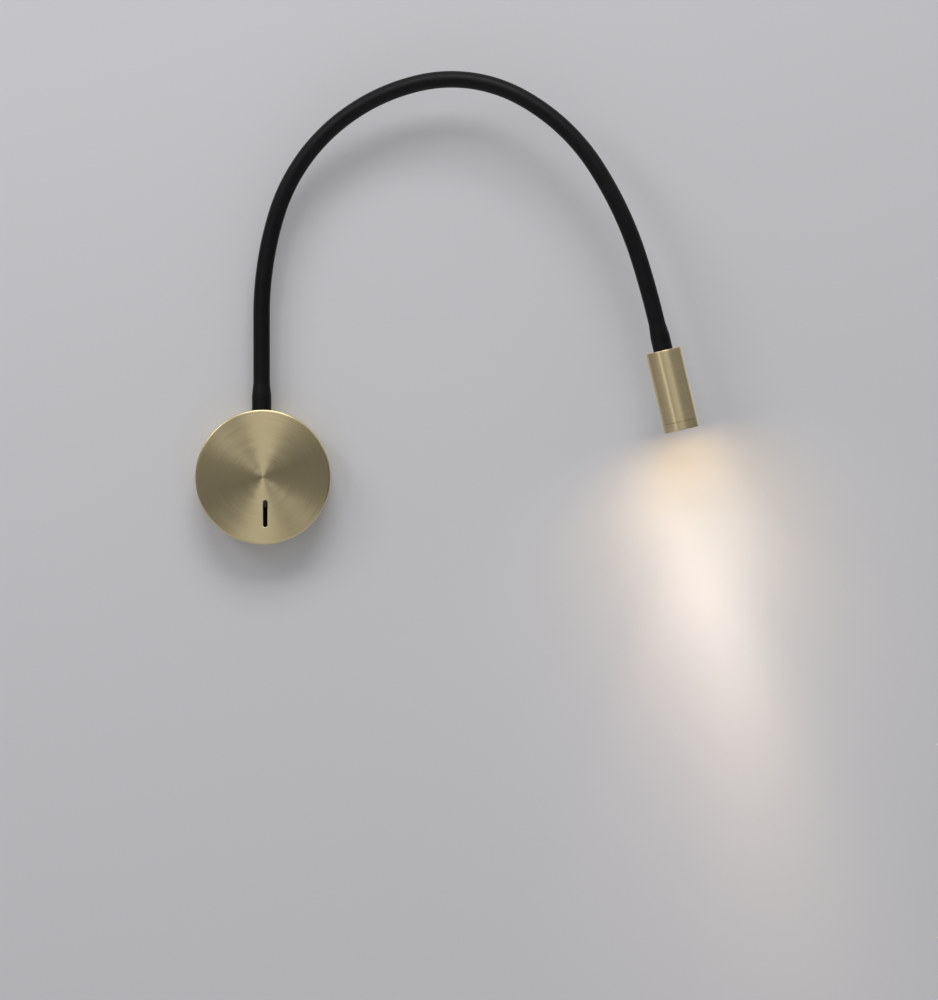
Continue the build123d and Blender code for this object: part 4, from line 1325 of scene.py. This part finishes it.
# ---------------------------------------------------------------- stage
@dataclass
class Stage:
    """Wall, floor, light and camera."""

    frame_width: int = 938
    frame_height: int = 1000
    scale: float = 0.742 * MM      # of one pixel, at the cover's face
    base_x: float = 262.7          # the base's middle in the picture
    base_y: float = 477.0
    distance: float = 5.0          # from the cover's face to the camera
    sensor: float = 36.0
    view_end: float = 100.0        # the camera sees as far as this
    wall_gap: float = 0.6 * MM     # the wall stands this far behind the bracket
    wall_size: float = 3.2
    floor_size: float = 16.0
    floor_z: float = -0.9
    wall_colour: str = "#BDBDC0"
    floor_colour: str = "#DADADC"
    pale: str = "#DADADC"          # what is seen past the cards
    fill: float = 0.5              # strength of the even light
    aim: tuple[float, float, float] = (0.14, -0.03, 0.05)  # what the soft boxes point at
    boxes: tuple[tuple[str, tuple[float, float, float], tuple[float, float], float], ...] = (
        # name, middle, width and height, watts
        ("top_box", (0.05, -1.5, 2.0), (1.5, 1.0), 34.0), ("left_box", (-1.6, -1.5, 1.5), (0.9, 0.9), 12.0),
        ("strip_box", (-0.97, -1.9, 0.35), (0.05, 1.3), 2.0))
    flag_radius: float = 2.5
    flag_height: float = 1.7
    flag_sides: int = 64
    flag_colour: str = "#78787A"
    flag_left_colour: str = "#9A9A9C"
    flag_change: tuple[float, float] = (-2.35, -1.75)  # where along X it turns darker
    flag_end: float = 1.5          # it ends this far behind the wall

    def camera(self) -> None:
        """Add a long lens square to the wall."""
        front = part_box("base_cover")[0].y
        across = (self.frame_width / 2 - self.base_x) * self.scale
        up = (self.base_y - self.frame_height / 2) * self.scale
        data = bpy.data.cameras.new("camera")
        data.sensor_width = self.sensor
        data.lens = self.sensor * self.distance / (self.frame_height * self.scale)
        data.clip_end = self.view_end
        camera = bpy.data.objects.new("camera", data)
        bpy.context.collection.objects.link(camera)
        camera.location = (across, front - self.distance, up)
        camera.rotation_euler = (math.radians(90), 0, 0)
        bpy.context.scene.camera = camera

    def card(self, name: str, width: float, height: float, place: Matrix,
             material: bpy.types.Material) -> bpy.types.Object:
        """Add a flat stage card.

        Args:
            name: Its name.
            width: Size along its x.
            height: Size along its y.
            place: Its frame; z is its front.
            material: Its material.

        Returns:
            The card.
        """
        bpy.ops.object.select_all(action="DESELECT")
        bpy.ops.mesh.primitive_plane_add(size=1.0, location=place.translation, rotation=place.to_euler())
        card = bpy.context.active_object
        card.name = name
        card.scale = (width, height, 1)
        card.data.materials.append(material)
        return card

    def paint(self, name: str, colour: str, one_sided: bool) -> bpy.types.Material:
        """Build a plain stage paint.

        Args:
            name: Its name.
            colour: Its hex colour.
            one_sided: Whether it can be seen through from behind.

        Returns:
            The material.
        """
        made = bpy.data.materials.new(name)
        made.use_nodes = True
        tree = made.node_tree
        tree.nodes.clear()
        coat = add_node(tree, "BsdfDiffuse", {"Color": linear(colour)}).outputs[0]
        if one_sided:
            behind = add_node(tree, "NewGeometry").outputs["Backfacing"]
            gone = add_node(tree, "BsdfTransparent").outputs[0]
            coat = add_node(tree, "MixShader", {0: behind, 1: coat, 2: gone}).outputs[0]
        add_node(tree, "OutputMaterial", {"Surface": coat})
        return made

    def backdrop(self) -> None:
        """Add the wall, seen only from its front and only by the camera, and the floor."""
        wall = self.card("wall_card", self.wall_size, self.wall_size,
                         Matrix.Translation((0, self.wall_gap, 0)) @ UPRIGHT,
                         self.paint("wall_paint", self.wall_colour, True))
        for unseen in ("visible_diffuse", "visible_glossy", "visible_transmission", "visible_shadow"):
            setattr(wall, unseen, False)
        self.card("floor_card", self.floor_size, self.floor_size, Matrix.Translation((0, 0, self.floor_z)),
                  self.paint("floor_paint", self.floor_colour, False))

    def soft_light(self, name: str, place: tuple[float, float, float], size: tuple[float, float],
                   watts: float) -> None:
        """Add a soft box that points at the lamp.

        Args:
            name: Its name.
            place: Its middle.
            size: Its width and height.
            watts: Its power.
        """
        light = area_light(name, "RECTANGLE", size, watts, "#FFFFFF")
        light.location = place
        light.rotation_mode = "QUATERNION"
        light.rotation_quaternion = (Vector(self.aim) - Vector(place)).to_track_quat("-Z", "Y")

    def flag(self) -> None:
        """Add a grey band of cloth round the lamp, paler on the left, which only glossy surfaces see."""
        bpy.ops.object.select_all(action="DESELECT")
        bpy.ops.mesh.primitive_cylinder_add(vertices=self.flag_sides, radius=self.flag_radius,
                                            depth=self.flag_height, end_fill_type="NOTHING")
        band = bpy.context.active_object
        band.name = "flag_cloth"
        bpy.ops.object.mode_set(mode="EDIT")
        select_where(band, lambda point: point.y > self.flag_end)
        bpy.ops.mesh.delete(type="VERT")
        bpy.ops.object.mode_set(mode="OBJECT")
        cloth = self.paint("flag_cloth", self.flag_colour, False)
        tree = cloth.node_tree
        across = add_node(tree, "SeparateXYZ", {0: add_node(tree, "TexCoord").outputs["Object"]}).outputs["X"]
        share = add_node(tree, "MapRange", {
            "Value": across, "From Min": self.flag_change[0], "From Max": self.flag_change[1]}).outputs[0]
        left, right = linear(self.flag_left_colour), linear(self.flag_colour)
        tone = add_node(tree, "Mix", {0: share, 6: left, 7: right}, data_type="RGBA")
        tree.links.new(tone.outputs[2], tree.nodes["Diffuse BSDF"].inputs["Color"])
        band.data.materials.append(cloth)
        for unseen in ("visible_camera", "visible_diffuse", "visible_transmission", "visible_shadow"):
            setattr(band, unseen, False)

    def world(self) -> None:
        """Add even light from all round, pale where it is seen."""
        made = bpy.data.worlds.new("studio")
        bpy.context.scene.world = made
        made.use_nodes = True
        tree = made.node_tree
        tree.nodes.clear()
        path = add_node(tree, "LightPath")
        seen = path.outputs["Is Camera Ray"]
        for way in ("Is Glossy Ray", "Is Transmission Ray"):
            seen = add_node(tree, "Math", {0: seen, 1: path.outputs[way]}, operation="MAXIMUM").outputs[0]
        soft = add_node(tree, "Background", {"Color": linear("#FFFFFF"), "Strength": self.fill}).outputs[0]
        pale = add_node(tree, "Background", {"Color": linear(self.pale), "Strength": 1.0}).outputs[0]
        mixed = add_node(tree, "MixShader", {0: seen, 1: soft, 2: pale}).outputs[0]
        add_node(tree, "OutputWorld", {"Surface": mixed})

    def build(self) -> None:
        """Build the stage."""
        self.camera()
        self.backdrop()
        for box in self.boxes:
            self.soft_light(*box)
        self.flag()
        self.world()
        bpy.context.scene.view_settings.view_transform = "Standard"


# ---------------------------------------------------------------- whole
@dataclass
class ReadingLamp:
    """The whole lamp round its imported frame."""

    nodes: Mapping[str, Piece]
    record: Mapping[str, object]
    paintbox: Paintbox = field(default_factory=Paintbox)

    def dress_nodes(self) -> None:
        """Give each CAD node the finish of its slot in the record."""
        for row in self.record["subparts"]:
            node = self.nodes[row["node"]]
            node.data.materials.clear()
            node.data.materials.append(self.paintbox.material(Slot(row["material_slot"])))

    def build(self) -> list[Piece]:
        """Build every sub-assembly.

        Returns:
            Every new piece.
        """
        arm = Gooseneck(self.paintbox)
        parts = [WallBase(self.paintbox), arm, LampHead(self.paintbox, arm.line.head())]
        made = [piece for part in parts for piece in part.build()]
        self.dress_nodes()
        return made


def main() -> None:
    """Build the lamp and its stage."""
    logging.basicConfig(level=logging.INFO, format="%(name)s: %(message)s")
    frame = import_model()
    lamp = ReadingLamp(frame["nodes"], frame["record"])
    for piece in lamp.build():
        LOG.info("%s: %d faces", piece.name, len(piece.data.polygons))
    Stage().build()


if __name__ == "__main__":
    main()
